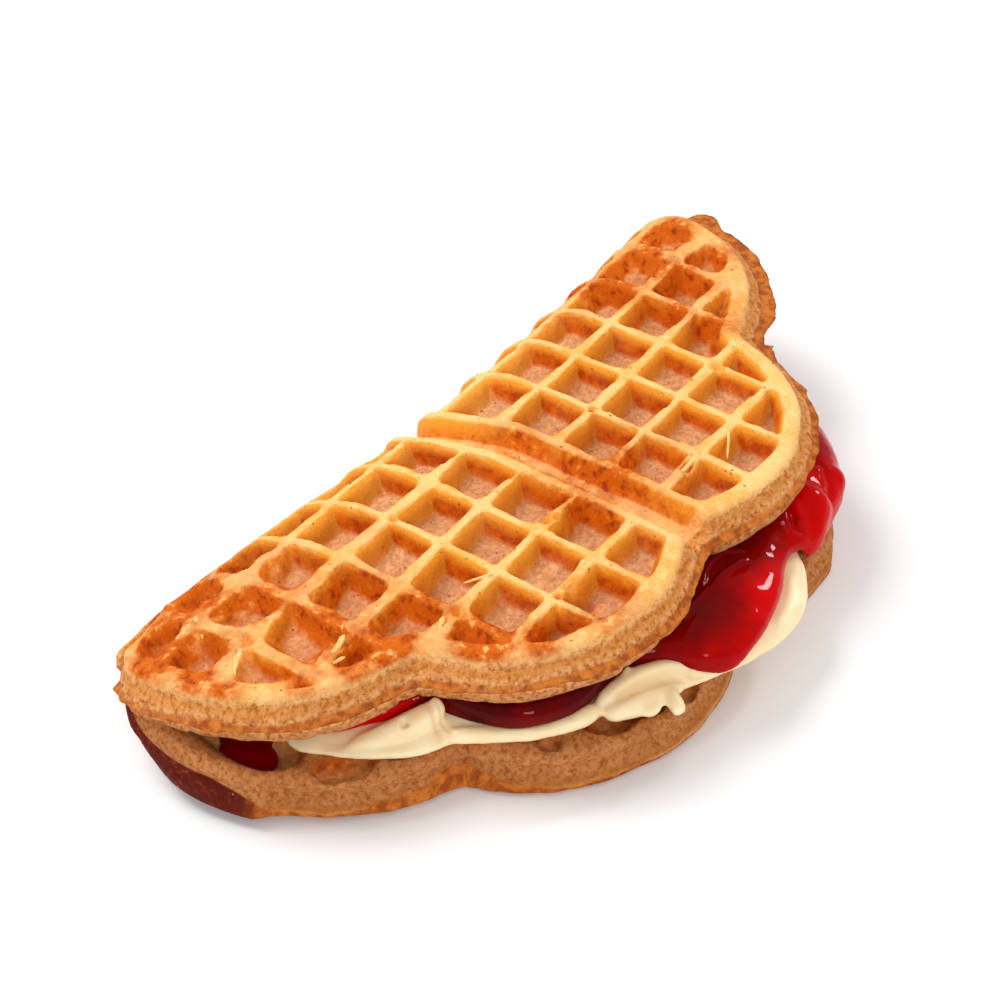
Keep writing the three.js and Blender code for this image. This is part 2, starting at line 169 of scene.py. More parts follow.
def distance_to_run(x: Array, y: Array, run: Array) -> tuple[Array, Array]:
    """Distance from points to a run of straight lines.

    Args:
        x, y: the points.
        run: the corners of the run, one row each.

    Returns:
        The distance, and how far along the run its nearest point is, from 0 to 1.
    """
    best = np.full(np.shape(x), np.inf)
    along = np.zeros(np.shape(x))
    steps = np.linalg.norm(np.diff(run, axis=0), axis=1)
    start = np.concatenate([[0.0], np.cumsum(steps)])
    for k, (a, b) in enumerate(zip(run[:-1], run[1:])):
        d = b - a
        t = np.clip(((x - a[0]) * d[0] + (y - a[1]) * d[1]) / (d @ d), 0.0, 1.0)
        gap = np.hypot(x - a[0] - t * d[0], y - a[1] - t * d[1])
        nearer = gap < best
        best = np.where(nearer, gap, best)
        along = np.where(nearer, (start[k] + t * steps[k]) / start[-1], along)
    return best, along


# ------------------------------------------------------------------ pattern and fold

@dataclass
class Iron:
    """What the waffle iron leaves: outline, ridges, wells and rim. Sizes are in cells."""

    groove_half: float = 0.42       # centre line of the groove to a heart's edge ridge
    lobe_along: float = 3.6
    lobe_across: float = 1.26
    lobe_radius: float = 2.42
    centre_radius: float = 5.0      # the middle, which the lobes leave open
    beyond: float = 8.0             # surely outside the outline
    notch_blend: float = 0.14       # how softly two lobes meet
    thickness: float = 0.8
    well_depth: float = 0.37
    inner_depth: float = 0.24
    inner_rim: float = 0.1          # the inner wells end this far outside the rim ridge
    groove_depth: float = 0.31
    groove_foot: float = 0.01       # its wall starts this far inside the edge ridge
    groove_wall: float = 0.18
    groove_slant: float = 0.2       # and is this much wider on the slanted side
    slant_ends: Span = (-5.6, 1.5)  # which runs out towards the rim
    groove_tint: float = 0.45       # how much of a well's floor colour the groove has
    ridge_half: float = 0.065
    bar_half: float = 0.075
    bar_start: float = 1.25         # how broad a bar starts, as a share; it tapers from there
    wall: float = 0.165
    rim_half: float = 0.09
    rim_wall: float = 0.18
    corner: float = 0.022           # how round the wells' corners are
    soft_left: Span = (2.4, 3.4)    # where the wells turn soft, towards -X and +X
    soft_right: Span = (3.8, 2.2)
    soft_most: float = 0.8          # at +X they only get this soft
    soft_cloud: float = 0.25        # how much the softness varies from place to place
    soft_growth: float = 0.7        # how much broader the ridges are where they are soft
    soft_corner: float = 3.0        # and how much rounder their corners
    soft_wall: float = 0.5          # and how much wider their walls
    taper_power: float = 1.4
    inner_ridge: float = 0.09
    inner_wall: float = 0.2
    hollow_lip: float = 0.1         # the open wells' walls start this far outside them
    hollow_wall: float = 0.17
    bare: Spot = (-6.1, 2.7, 0.9, 1.0)         # no regular wells in the inner face here
    deepest: Spot = (-6.15, 2.1, 0.5, 0.6)     # and here the open ones are deeper
    wander: float = 0.045           # how far the ridges stray
    curve: float = 0.34             # how far the upper groove swings to the left
    curve_back: Span = (0.3, 1.2)   # between these it swings
    curve_front: Span = (-3.0, 1.3)
    torn: tuple[Spot, ...] = (
        # torn places and holes
        (-2.03, -5.5, 0.12, 0.2), (-2.0, -5.74, 0.09, 0.15), (-2.32, -5.46, 0.05, 0.16),
        (-1.16, -4.38, 0.07, 0.2), (-1.02, -4.46, 0.05, 0.16), (1.4, -3.42, 0.035, 0.3),
        (1.1, -5.42, 0.1, 0.16), (0.95, -5.55, 0.07, 0.14), (-3.4, -4.45, 0.08, 0.12),
        (-4.4, -4.5, 0.09, 0.14), (-5.4, -2.42, 0.1, 0.12), (-3.5, -6.2, 0.1, 0.1),
        (3.42, -4.5, 0.09, 0.14), (-5.62, -3.5, 0.12, 0.14), (-2.4, -2.5, 0.05, 0.12),
    )
    hollows: tuple[tuple[float, float, float], ...] = (
        # x, y and radius of the open wells that show in the inner face
        (-6.2, 1.9, 0.3), (-6.18, 2.2, 0.34), (-6.12, 2.42, 0.3), (-5.92, 3.22, 0.27),
        (-5.7, 3.42, 0.27), (-2.95, 5.93, 0.24), (-3.78, 5.42, 0.15),
        (-2.35, 6.2, 0.2), (-1.85, 6.5, 0.17),
    )
    seed: int = 11
    cells: int = 8

    def __post_init__(self) -> None:
        """Draws what differs from well to well."""
        rng = np.random.default_rng(self.seed)
        shape = (4, self.cells, self.cells + 1)
        self.taper = rng.uniform(0.05, 0.6, shape)
        self.sink = rng.uniform(-0.14, 0.1, shape)
        self.bar_drop = rng.uniform(0.0, 0.05, shape)
        self.taper[3, 0, 1:5] = (0.9, 0.98, 1.0, 0.95)
        self.taper[3, 4, 2:4] = (1.05, 1.12)
        self.taper[3, 5, 2:4] = (1.05, 1.0)
        self.bar_drop[3, 4:6, 2:4] = 0.09
        self.fine = Grain(self.seed + 1)
        self.broad = Grain(self.seed + 2)

    def lobes(self) -> list[tuple[float, float]]:
        """Centres of the eight round lobes.

        Returns:
            The x and y of each.
        """
        a = self.lobe_along + self.groove_half
        b = self.lobe_across + self.groove_half
        return [(sx * p, sy * q) for p, q in ((a, b), (b, a)) for sx in (1, -1) for sy in (1, -1)]

    def edge(self, x: Array, y: Array) -> Array:
        """Distance outside the rim ridge's middle; negative inside.

        Args:
            x, y: flat pattern positions.

        Returns:
            The distance.
        """
        k = self.notch_blend
        total = np.exp((self.centre_radius - np.hypot(x, y)) / k)
        for cx, cy in self.lobes():
            total = total + np.exp((self.lobe_radius - np.hypot(x - cx, y - cy)) / k)
        return -k * np.log(total)

    def slide(self, points: Array, target: float | Array) -> Array:
        """Moves points along the edge's slope until they are `target` outside it.

        Args:
            points: flat positions, one row each.
            target: distance outside the rim ridge's middle.

        Returns:
            The moved points.
        """
        step = 1e-4
        for _ in range(4):
            x, y = points[:, 0], points[:, 1]
            here = self.edge(x, y)
            gx = (self.edge(x + step, y) - here) / step
            gy = (self.edge(x, y + step) - here) / step
            move = (target - here) / np.maximum(gx * gx + gy * gy, 0.2)
            points = points + np.stack([gx * move, gy * move], 1)
        return points

    def outline(self, count: int) -> Array:
        """Points round the middle of the rim ridge, anticlockwise.

        Args:
            count: how many.

        Returns:
            The points, one row each.
        """
        angles = np.linspace(-math.pi, math.pi, count, endpoint=False)
        ray = np.stack([np.cos(angles), np.sin(angles)], 1)
        low, high = np.full(count, self.centre_radius), np.full(count, self.beyond)
        for _ in range(40):
            middle = (low + high) / 2
            inside = self.edge(*(ray * middle[:, None]).T) < 0.0
            low, high = np.where(inside, middle, low), np.where(inside, high, middle)
        return ray * low[:, None]

    def softness(self, x: Array, y: Array) -> Array:
        """How round and blurred the wells came out.

        Args:
            x, y: flat pattern positions.

        Returns:
            0 where they are crisp, 1 where they are round.
        """
        left = ramp(-x, self.soft_left) * (y < 0)
        right = self.soft_most * ramp(x, self.soft_right) * (y < 0)
        cloud = self.soft_cloud * self.broad.at(x * 0.7, y * 0.7)
        return np.clip(left + right + cloud, 0.0, 1.0)

    def outer_depth(self, x: Array, y: Array) -> tuple[Array, Array]:
        """Shape of the outer face.

        Args:
            x, y: flat pattern positions.

        Returns:
            Depth below the ridges, and a mask that is 1 on the wells' and grooves' floors.
        """
        u, v = np.abs(x) - self.groove_half, np.abs(y) - self.groove_half
        i = np.clip(np.floor(u), 0, self.cells - 1).astype(int)
        j = np.clip(np.floor(v), 0, self.cells - 1).astype(int)
        a, b = np.clip(u - i, 0, 1), np.clip(v - j, 0, 1)
        heart = (x < 0).astype(int) + 2 * (y < 0)
        along = np.where(x > 0, a, 1 - a)
        soft = self.softness(x, y)
        wall = self.wall * (1 + self.soft_wall * soft)
        grow, thin = 1 + self.soft_growth * soft, along ** self.taper_power
        low = self.bar_half * (self.bar_start - self.taper[heart, i, j] * thin) * grow
        high = self.bar_half * (self.bar_start - self.taper[heart, i, j + 1] * thin) * grow
        side = self.ridge_half * grow
        edge = self.edge(x, y)
        wander = (0.03 + 0.06 * soft) * self.fine.layered(x * 2.7 + 60, y * 2.7)
        rim = (-edge - self.rim_half) * wall / self.rim_wall
        gaps = (a - side, 1 - a - side, b - low, 1 - b - high, rim)
        corner = self.corner * (1 + self.soft_corner * soft)
        floor = self.rise((self.blend(*gaps, corner=corner) + wander) / wall)
        depth = self.well_depth * (1 + self.sink[heart, i, j] - 0.1 * soft) * floor
        off_low, off_high = smooth((b - low) / wall), smooth((1 - b - high) / wall)
        dips = (1 - off_low) * self.bar_drop[heart, i, j]
        dips = dips + (1 - off_high) * self.bar_drop[heart, i, j + 1]
        off_sides = smooth((a - self.ridge_half) / wall) * smooth((1 - a - self.ridge_half) / wall)
        depth = depth + off_sides * smooth(rim / wall) * dips * along
        groove = self.groove_at(x, y) / self.groove_depth
        open_ground = (u < 0) | (v < 0)
        depth = np.where(open_ground, self.groove_depth * groove, depth)
        floor = np.where(open_ground, self.groove_tint * groove, floor)
        for place in self.torn:
            depth = depth + spot(x, y, place)
        lumps = (0.012 + 0.03 * soft) * self.fine.layered(x * 3.1, y * 3.1)
        lumps = lumps + 0.007 * self.fine.at(x * 11, y * 11)
        lumps = lumps + 0.018 * floor * self.fine.at(x * 7, y * 7)
        return depth + lumps, floor

    @staticmethod
    def blend(*gaps: Array, corner: float | Array) -> Array:
        """The smallest of several distances, rounded by `corner` where two are alike."""
        return -corner * np.log(sum(np.exp(-gap / corner) for gap in gaps))

    @staticmethod
    def rise(t: Array) -> Array:
        """A wall's section: a firm shoulder at t = 0 and a rounded foot at t = 1."""
        s = np.clip(t, 0.0, 1.0)
        return s * (3.0 - s * s) / 2.0

    def groove_at(self, x: Array, y: Array) -> Array:
        """Depth of the channel between the hearts, which runs out through the rim.

        Args:
            x, y: flat pattern positions.

        Returns:
            The depth below the ridges, 0 outside the channel.
        """
        across = np.where(np.abs(x) < np.abs(y), x, np.abs(y))
        inward = self.groove_half - self.ridge_half - np.abs(across)
        slant = (across < 0) * ramp(-np.abs(y), self.slant_ends)
        wall = self.groove_wall + self.groove_slant * slant
        return self.groove_depth * smooth((inward - self.groove_foot) / wall)

    def inner_depth_at(self, x: Array, y: Array) -> tuple[Array, Array]:
        """Shape of the inner face.

        Args:
            x, y: flat pattern positions.

        Returns:
            Depth of the wells below the inner ridges, and a mask of their floors.
        """
        u, v = np.abs(x) - self.groove_half, np.abs(y) - self.groove_half
        a, b = np.abs(u - np.round(u)), np.abs(v - np.round(v))
        gaps = (a - self.inner_ridge, b - self.inner_ridge, self.inner_rim - self.edge(x, y))
        wander = 0.04 * self.fine.layered(x * 2.1 + 60, y * 2.1)
        floor = self.rise((self.blend(*gaps, corner=self.corner) + wander) / self.inner_wall)
        floor = floor * (1 - spot(x, y, self.bare))
        for hx, hy, radius in self.hollows:
            gap = np.hypot(x - hx, y - hy) + wander
            inside = radius + self.hollow_lip - gap
            floor = np.maximum(floor, self.rise(inside / self.hollow_wall))
        hollow = 1 + spot(x, y, self.deepest)
        lumps = 0.025 * self.fine.layered(x * 2.3 + 31, y * 2.3)
        lumps = lumps + 0.012 * self.fine.at(x * 9, y * 9)
        return self.inner_depth * hollow * floor + lumps, floor

    def warp(self, x: Array, y: Array) -> tuple[Array, Array]:
        """Where the pattern's points really lie: the ridges wander a little.

        Args:
            x, y: flat pattern positions.

        Returns:
            The x and y of the real places.
        """
        wx = self.wander * self.broad.layered(x * 0.8 + 5, y * 0.8, 2)
        wy = self.wander * self.broad.layered(x * 0.8 + 45, y * 0.8, 2)
        upper = ramp(-y, self.curve_back)
        bend = ramp(y, self.curve_front) * upper
        wx = wx - self.curve * bend * bell(x - 0.1, 1.0)
        return x + wx, y + wy


@dataclass
class Fold:
    """Bends the flat waffle round the filling. Sizes are in cells."""

    iron: Iron
    height: float = 2.37
    start: float = 2.06
    apex: float = 0.28
    half_length: float = 6.0
    left_sag: float = 0.36
    right_lift: float = 0.29
    curl_start: float = 3.5
    curl_height: float = 0.1
    curl_reach: float = 3.0
    lower_turn: float = math.radians(1.9)
    turn_reach: float = 2.4
    pinch: float = 0.8
    lower_start: float = 1.5        # where the lower half becomes flat
    left_back: float = 0.77         # at -X the bend reaches further back
    left_start: float = 1.42        # begins nearer the front
    left_apex: float = 1.2          # goes further round into the lower half
    left_lower: float = 0.9         # and ends further along it
    left_ease: float = 0.02
    back_swell: float = 0.12        # how far the fold's outside stands proud
    tuck_span: Span = (4.9, 1.5)    # here, towards -X, the bend's tip draws in
    tuck: float = 0.2
    narrow: float = 0.42            # and the end of the bend is narrower than the sheet
    narrow_at: float = 1.2
    narrow_reach: float = 0.45
    flat_radius: float = 1e6
    cream_ends: tuple[float, float] = (-5.9, 5.4)     # along the fold, of the CAD's cream
    cream_back: float = -2.203                        # and its rear edge
    origin: tuple[float, float] = (0.0, 0.0)

    def levels(self, x: Array) -> tuple[Array, Array]:
        """Outer heights along the fold.

        Args:
            x: place along the fold.

        Returns:
            Height of the underside and of the top.
        """
        share = (x / self.half_length) ** 2
        top = self.height + np.where(x < 0, -self.left_sag, self.right_lift) * share
        curl = np.maximum((-x - self.curl_start) / self.curl_reach, 0.0)
        return self.curl_height * curl ** 2, top

    def bend(self, x: Array, reach: Array) -> tuple[Array, Array, Array, Array]:
        """The bend at a flat position.

        Args:
            x: place along the fold.
            reach: flat distance towards the front of the upper half.

        Returns:
            Angle round the bend, how deep that side of the bend is, how far back its tip
            is, and how far past the bend the position lies.
        """
        t = -x / self.half_length
        left = (t + np.sqrt(t * t + self.left_ease)) / 2
        apex = self.apex - self.left_apex * left
        start = self.start + self.left_start * left
        lower = self.lower_start + self.left_lower * left
        tip = self.height / 2 - self.start + self.back_swell + self.left_back * left
        tip = tip - self.tuck * ramp(-x, self.tuck_span)
        upper = reach > apex
        arc = np.where(upper, start - apex, apex + lower)
        deep = tip + np.where(upper, start, lower + self.start - self.lower_start)
        past = np.where(upper, np.maximum(reach - start, 0), np.maximum(-lower - reach, 0))
        return np.clip((reach - apex) / arc, -1, 1) * math.pi / 2, deep, tip, past

    def outer(self, x: Array, y: Array) -> Array:
        """Place of the outer face.

        Args:
            x, y: flat pattern positions.

        Returns:
            Positions in cells with the sheet's own origin, one row each.
        """
        reach = -y
        bottom, top = self.levels(x)
        angle, deep, tip, past = self.bend(x, reach)
        back = tip - deep * (1 - np.cos(angle)) - past
        level = bottom + (top - bottom) * (1 + np.sin(angle)) / 2
        turn = self.lower_turn * smooth((self.apex - reach) / self.turn_reach)
        drawn = self.narrow * ramp(-x, self.tuck_span)
        x = x + drawn * bell(y - self.narrow_at, self.narrow_reach)
        return np.stack([x * np.cos(turn) - back * np.sin(turn),
                         x * np.sin(turn) + back * np.cos(turn), level], -1)

    def bend_radius(self, x: Array, y: Array) -> Array:
        """How tightly the sheet bends.

        Args:
            x, y: flat pattern positions.

        Returns:
            The radius in cells, huge where the sheet is flat.
        """
        bottom, top = self.levels(x)
        angle, a, _, past = self.bend(x, -y)
        b = (top - bottom) / 2
        radius = ((a * np.sin(angle)) ** 2 + (b * np.cos(angle)) ** 2) ** 1.5 / (a * b)
        return np.where(past > 0, self.flat_radius, radius)

    def place(self, x: Array, y: Array, z: Array) -> Array:
        """Place of flat points after folding.

        Args:
            x, y: flat pattern positions in cells.
            z: height over the outer face, negative inside the waffle.

        Returns:
            Positions in metres in the frame, one row each.
        """
        step = 1 / 250
        dx = self.outer(x + step, y) - self.outer(x - step, y)
        dy = self.outer(x, y + step) - self.outer(x, y - step)
        normal = np.cross(dx, dy)
        normal /= np.linalg.norm(normal, axis=-1, keepdims=True)
        squeeze = np.minimum(self.pinch * self.bend_radius(x, y) / self.iron.thickness, 1)
        cells = self.outer(x, y) + normal * (z * squeeze)[..., None]
        return self.in_frame(cells)

    def shift(self) -> Array:
        """The sheet's origin in the frame, in metres."""
        return np.array([self.origin[0], self.origin[1], 0.0])

    def in_frame(self, cells: Array) -> Array:
        """Turns positions in cells with the sheet's origin into metres in the frame."""
        return cells * CELL + self.shift()

    def anchor(self, low: Vector, high: Vector) -> None:
        """Finds the sheet's origin from the corners of the CAD cream's box."""
        middle = sum(self.cream_ends) / 2
        self.origin = ((low.x + high.x) / 2 - middle * CELL, high.y - self.cream_back * CELL)


# ------------------------------------------------------------------ meshes

def finish_mesh(mesh: bpy.types.Mesh, marks: Marks) -> bpy.types.Object:
    """Puts marks on a mesh, shades it smooth and makes its object.

    Args:
        mesh: the mesh.
        marks: named numbers on the vertices, for the materials.

    Returns:
        The new object, named like the mesh.
    """
    for mark, values in marks.items():
        layer = mesh.attributes.new(mark, "FLOAT", "POINT")
        layer.data.foreach_set("value", np.ascontiguousarray(values, dtype=np.float32))
    mesh.polygons.foreach_set("use_smooth", np.ones(len(mesh.polygons), dtype=bool))
    mesh.update()
    piece = bpy.data.objects.new(mesh.name, mesh)
    bpy.context.scene.collection.objects.link(piece)
    return piece


def tube_faces(rows: int, across: int, first: int) -> list[list[int]]:
    """Faces of a closed tube of rings.

    Args:
        rows: how many rings.
        across: how many vertices each has.
        first: number of the first vertex.

    Returns:
        The side's faces, then both ends.
    """
    index = np.arange(rows * across).reshape(rows, across) + first
    ahead = np.roll(index, -1, axis=1)
    quads = np.stack([index[:-1], ahead[:-1], ahead[1:], index[1:]], -1)
    return quads.reshape(-1, 4).tolist() + [index[0, ::-1].tolist(), index[-1].tolist()]


def make_piece(name: str, points: Array, faces: list, marks: Marks) -> bpy.types.Object:
    """Makes a smooth-shaded mesh object with its place in its mesh.

    Args:
        name: the object's name.
        points: vertex positions in metres.
        faces: vertex numbers of each face.
        marks: named numbers on the vertices, for the materials.

    Returns:
        The new object.
    """
    mesh = bpy.data.meshes.new(name)
    mesh.from_pydata(points.tolist(), [], faces)
    return finish_mesh(mesh, marks)


@dataclass
class Sheet:
    """A grid of quads inside the waffle's outline, with its border on the outline."""

    iron: Iron
    xs: Array
    ys: Array
    border: float                   # distance of the border from the rim ridge's middle
    eased: float = 0.16             # how far behind the border the grid is eased

    def __post_init__(self) -> None:
        """Builds the grid, snaps its border and evens it out."""
        cx = (self.xs[:-1] + self.xs[1:]) / 2
        cy = (self.ys[:-1] + self.ys[1:]) / 2
        keep = self.iron.edge(*np.meshgrid(cx, cy, indexing="ij")) < self.border
        number = np.arange(len(self.xs) * len(self.ys)).reshape(len(self.xs), len(self.ys))
        i, j = np.nonzero(keep)
        quads = np.stack([number[i, j], number[i + 1, j], number[i + 1, j + 1],
                          number[i, j + 1]], 1)
        used, compact = np.unique(quads, return_inverse=True)
        self.quads = compact.reshape(-1, 4)
        gx, gy = np.meshgrid(self.xs, self.ys, indexing="ij")
        self.points = np.stack([gx.ravel()[used], gy.ravel()[used]], 1)
        self.loop = self.find_border()
        self.relax()

    def sides(self) -> tuple[Array, Array]:
        """First and last vertex of every side of every quad."""
        return self.quads.ravel(), np.roll(self.quads, -1, axis=1).ravel()

    def find_border(self) -> Array:
        """Walks round the border.

        Returns:
            Its vertices, anticlockwise seen from above.
        """
        a, b = self.sides()
        edges = set(zip(a.tolist(), b.tolist()))
        follow = {p: q for p, q in edges if (q, p) not in edges}
        start = next(iter(sorted(follow)))
        loop, at = [start], follow[start]
        while at != start:
            loop.append(at)
            at = follow[at]
        return np.array(loop)

    def relax(self) -> None:
        """Puts the border on the outline, evenly spaced, and eases the grid behind it."""
        points = self.points
        points[self.loop] = self.iron.slide(points[self.loop], self.border)
        for _ in range(6):
            ring = points[self.loop]
            ring = 0.5 * ring + 0.25 * (np.roll(ring, 1, 0) + np.roll(ring, -1, 0))
            points[self.loop] = self.iron.slide(ring, self.border)
        near = self.iron.edge(points[:, 0], points[:, 1]) > self.border - self.eased
        near[self.loop] = False
        a, b = self.sides()
        for _ in range(5):
            total, count = np.zeros_like(points), np.zeros(len(points))
            for p, q in ((a, b), (b, a)):
                np.add.at(total, p, points[q])
                np.add.at(count, p, 1)
            mean = total / count[:, None]
            points[near] = 0.4 * points[near] + 0.6 * mean[near]


def rolled(loop: Array, points: Array) -> tuple[Array, Array]:
    """Starts a loop at its smallest angle round the centre.

    Args:
        loop: vertex numbers of the loop, anticlockwise.
        points: their flat positions.

    Returns:
        The loop, and each vertex's angle with the first one's repeated a turn later.
    """
    turn = np.arctan2(points[:, 1], points[:, 0])
    first = int(np.argmin(turn))
    turn = np.maximum.accumulate(np.roll(turn, -first))
    return np.roll(loop, -first), np.append(turn, turn[0] + 2 * math.pi)


def stitch(inner: Array, inner_points: Array, outer: Array,
           outer_points: Array) -> list[tuple[int, int, int]]:
    """Joins two loops round the same centre with triangles that face up.

    Args:
        inner, outer: vertex numbers of the loops, anticlockwise.
        inner_points, outer_points: their flat positions.

    Returns:
        The triangles.
    """
    inner, inner_turn = rolled(inner, inner_points)
    outer, outer_turn = rolled(outer, outer_points)
    i = j = 0
    triangles = []
    while i < len(inner) or j < len(outer):
        a, b = int(inner[i % len(inner)]), int(outer[j % len(outer)])
        take_inner = j >= len(outer) or (
            i < len(inner) and inner_turn[i + 1] <= outer_turn[j + 1])
        if take_inner:
            i += 1
            triangles.append((a, b, int(inner[i % len(inner)])))
        else:
            j += 1
            triangles.append((a, b, int(outer[j % len(outer)])))
    return triangles


def grid_lines(groove_half: float, offsets: tuple[float, ...], groove: tuple[float, ...],
               end: float) -> Array:
    """Grid line positions to one side of the groove's middle, closer at the ridges.

    Args:
        groove_half: where the first ridge is.
        offsets: from a ridge to the middle of a well, from 0 to 0.5.
        groove: line positions inside the groove, from 0.
        end: where the lines stop.

    Returns:
        The positions, from 0 up.
    """
    half = np.array(offsets)
    cell = np.concatenate([half[:-1], 1 - half[::-1]])[:-1]
    lines = [np.array(groove)] + [groove_half + k + cell for k in range(int(end) + 1)]
    line = np.concatenate(lines)
    return line[line < end]


def both_sides(low: Array, high: Array) -> Array:
    """Grid lines of both sides of a groove as one run."""
    return np.concatenate([-low[:0:-1], high])


# grid lines from a ridge to the middle of a well, and inside the groove
FINE = (0.0, 0.04, 0.075, 0.105, 0.135, 0.165, 0.195, 0.23, 0.275, 0.34, 0.42, 0.5)
PLAIN = (0.0, 0.07, 0.13, 0.19, 0.26, 0.36, 0.5)
LOOSE = (0.0, 0.12, 0.25, 0.5)
FINE_GROOVE = (0.0, 0.06, 0.12, 0.16, 0.2, 0.24, 0.28, 0.31, 0.345, 0.38)
PLAIN_GROOVE = (0.0, 0.12, 0.2, 0.28, 0.35)
LOOSE_GROOVE = (0.0, 0.25)
REACH = 6.7                    # the outline ends before this along x and along y

RIM_SECTION = (  # distance out from the rim ridge, depth below the outer face, share of the flash
    (0.04, 0.0, 0), (0.09, 0.004, 0), (0.135, 0.022, 0), (0.168, 0.055, 0), (0.188, 0.095, 0),
    (0.2, 0.135, 0), (0.226, 0.17, 0), (0.275, 0.2, 0), (0.325, 0.24, 0), (0.365, 0.285, 0),
    (0.395, 0.33, 0.02), (0.42, 0.35, 0.2), (0.442, 0.365, 0.65), (0.458, 0.375, 1.0),
    (0.456, 0.39, 1.0), (0.44, 0.402, 0.65), (0.415, 0.42, 0.2), (0.4, 0.47, 0.02),
    (0.395, 0.54, 0), (0.385, 0.61, 0), (0.36, 0.69, 0), (0.3, 0.76, 0), (0.19, 0.8, 0),
)
LOWER_SECTION = (  # the same round the lower half, which spreads on the ground
    (0.04, 0.0, 0.1), (0.1, 0.0, 0.3), (0.17, 0.005, 0.6), (0.235, 0.015, 0.85), (0.28, 0.035, 1),
    (0.3, 0.065, 1), (0.3, 0.1, 0.98), (0.294, 0.14, 0.95), (0.287, 0.18, 0.92),
    (0.28, 0.22, 0.9), (0.27, 0.26, 0.88), (0.25, 0.3, 0.86), (0.225, 0.34, 0.85),
    (0.2, 0.38, 0.84), (0.188, 0.42, 0.83), (0.195, 0.46, 0.82), (0.222, 0.5, 0.8),
    (0.256, 0.545, 0.78), (0.28, 0.595, 0.74), (0.29, 0.65, 0.7), (0.28, 0.71, 0.6),
    (0.24, 0.765, 0.45), (0.18, 0.79, 0.3),
)
RIM_STEPS = 1040               # vertices round the rim
MARKS = ("well", "wall", "face", "brown", "side", "seam", "burnt_and_shaded", "level", "low")


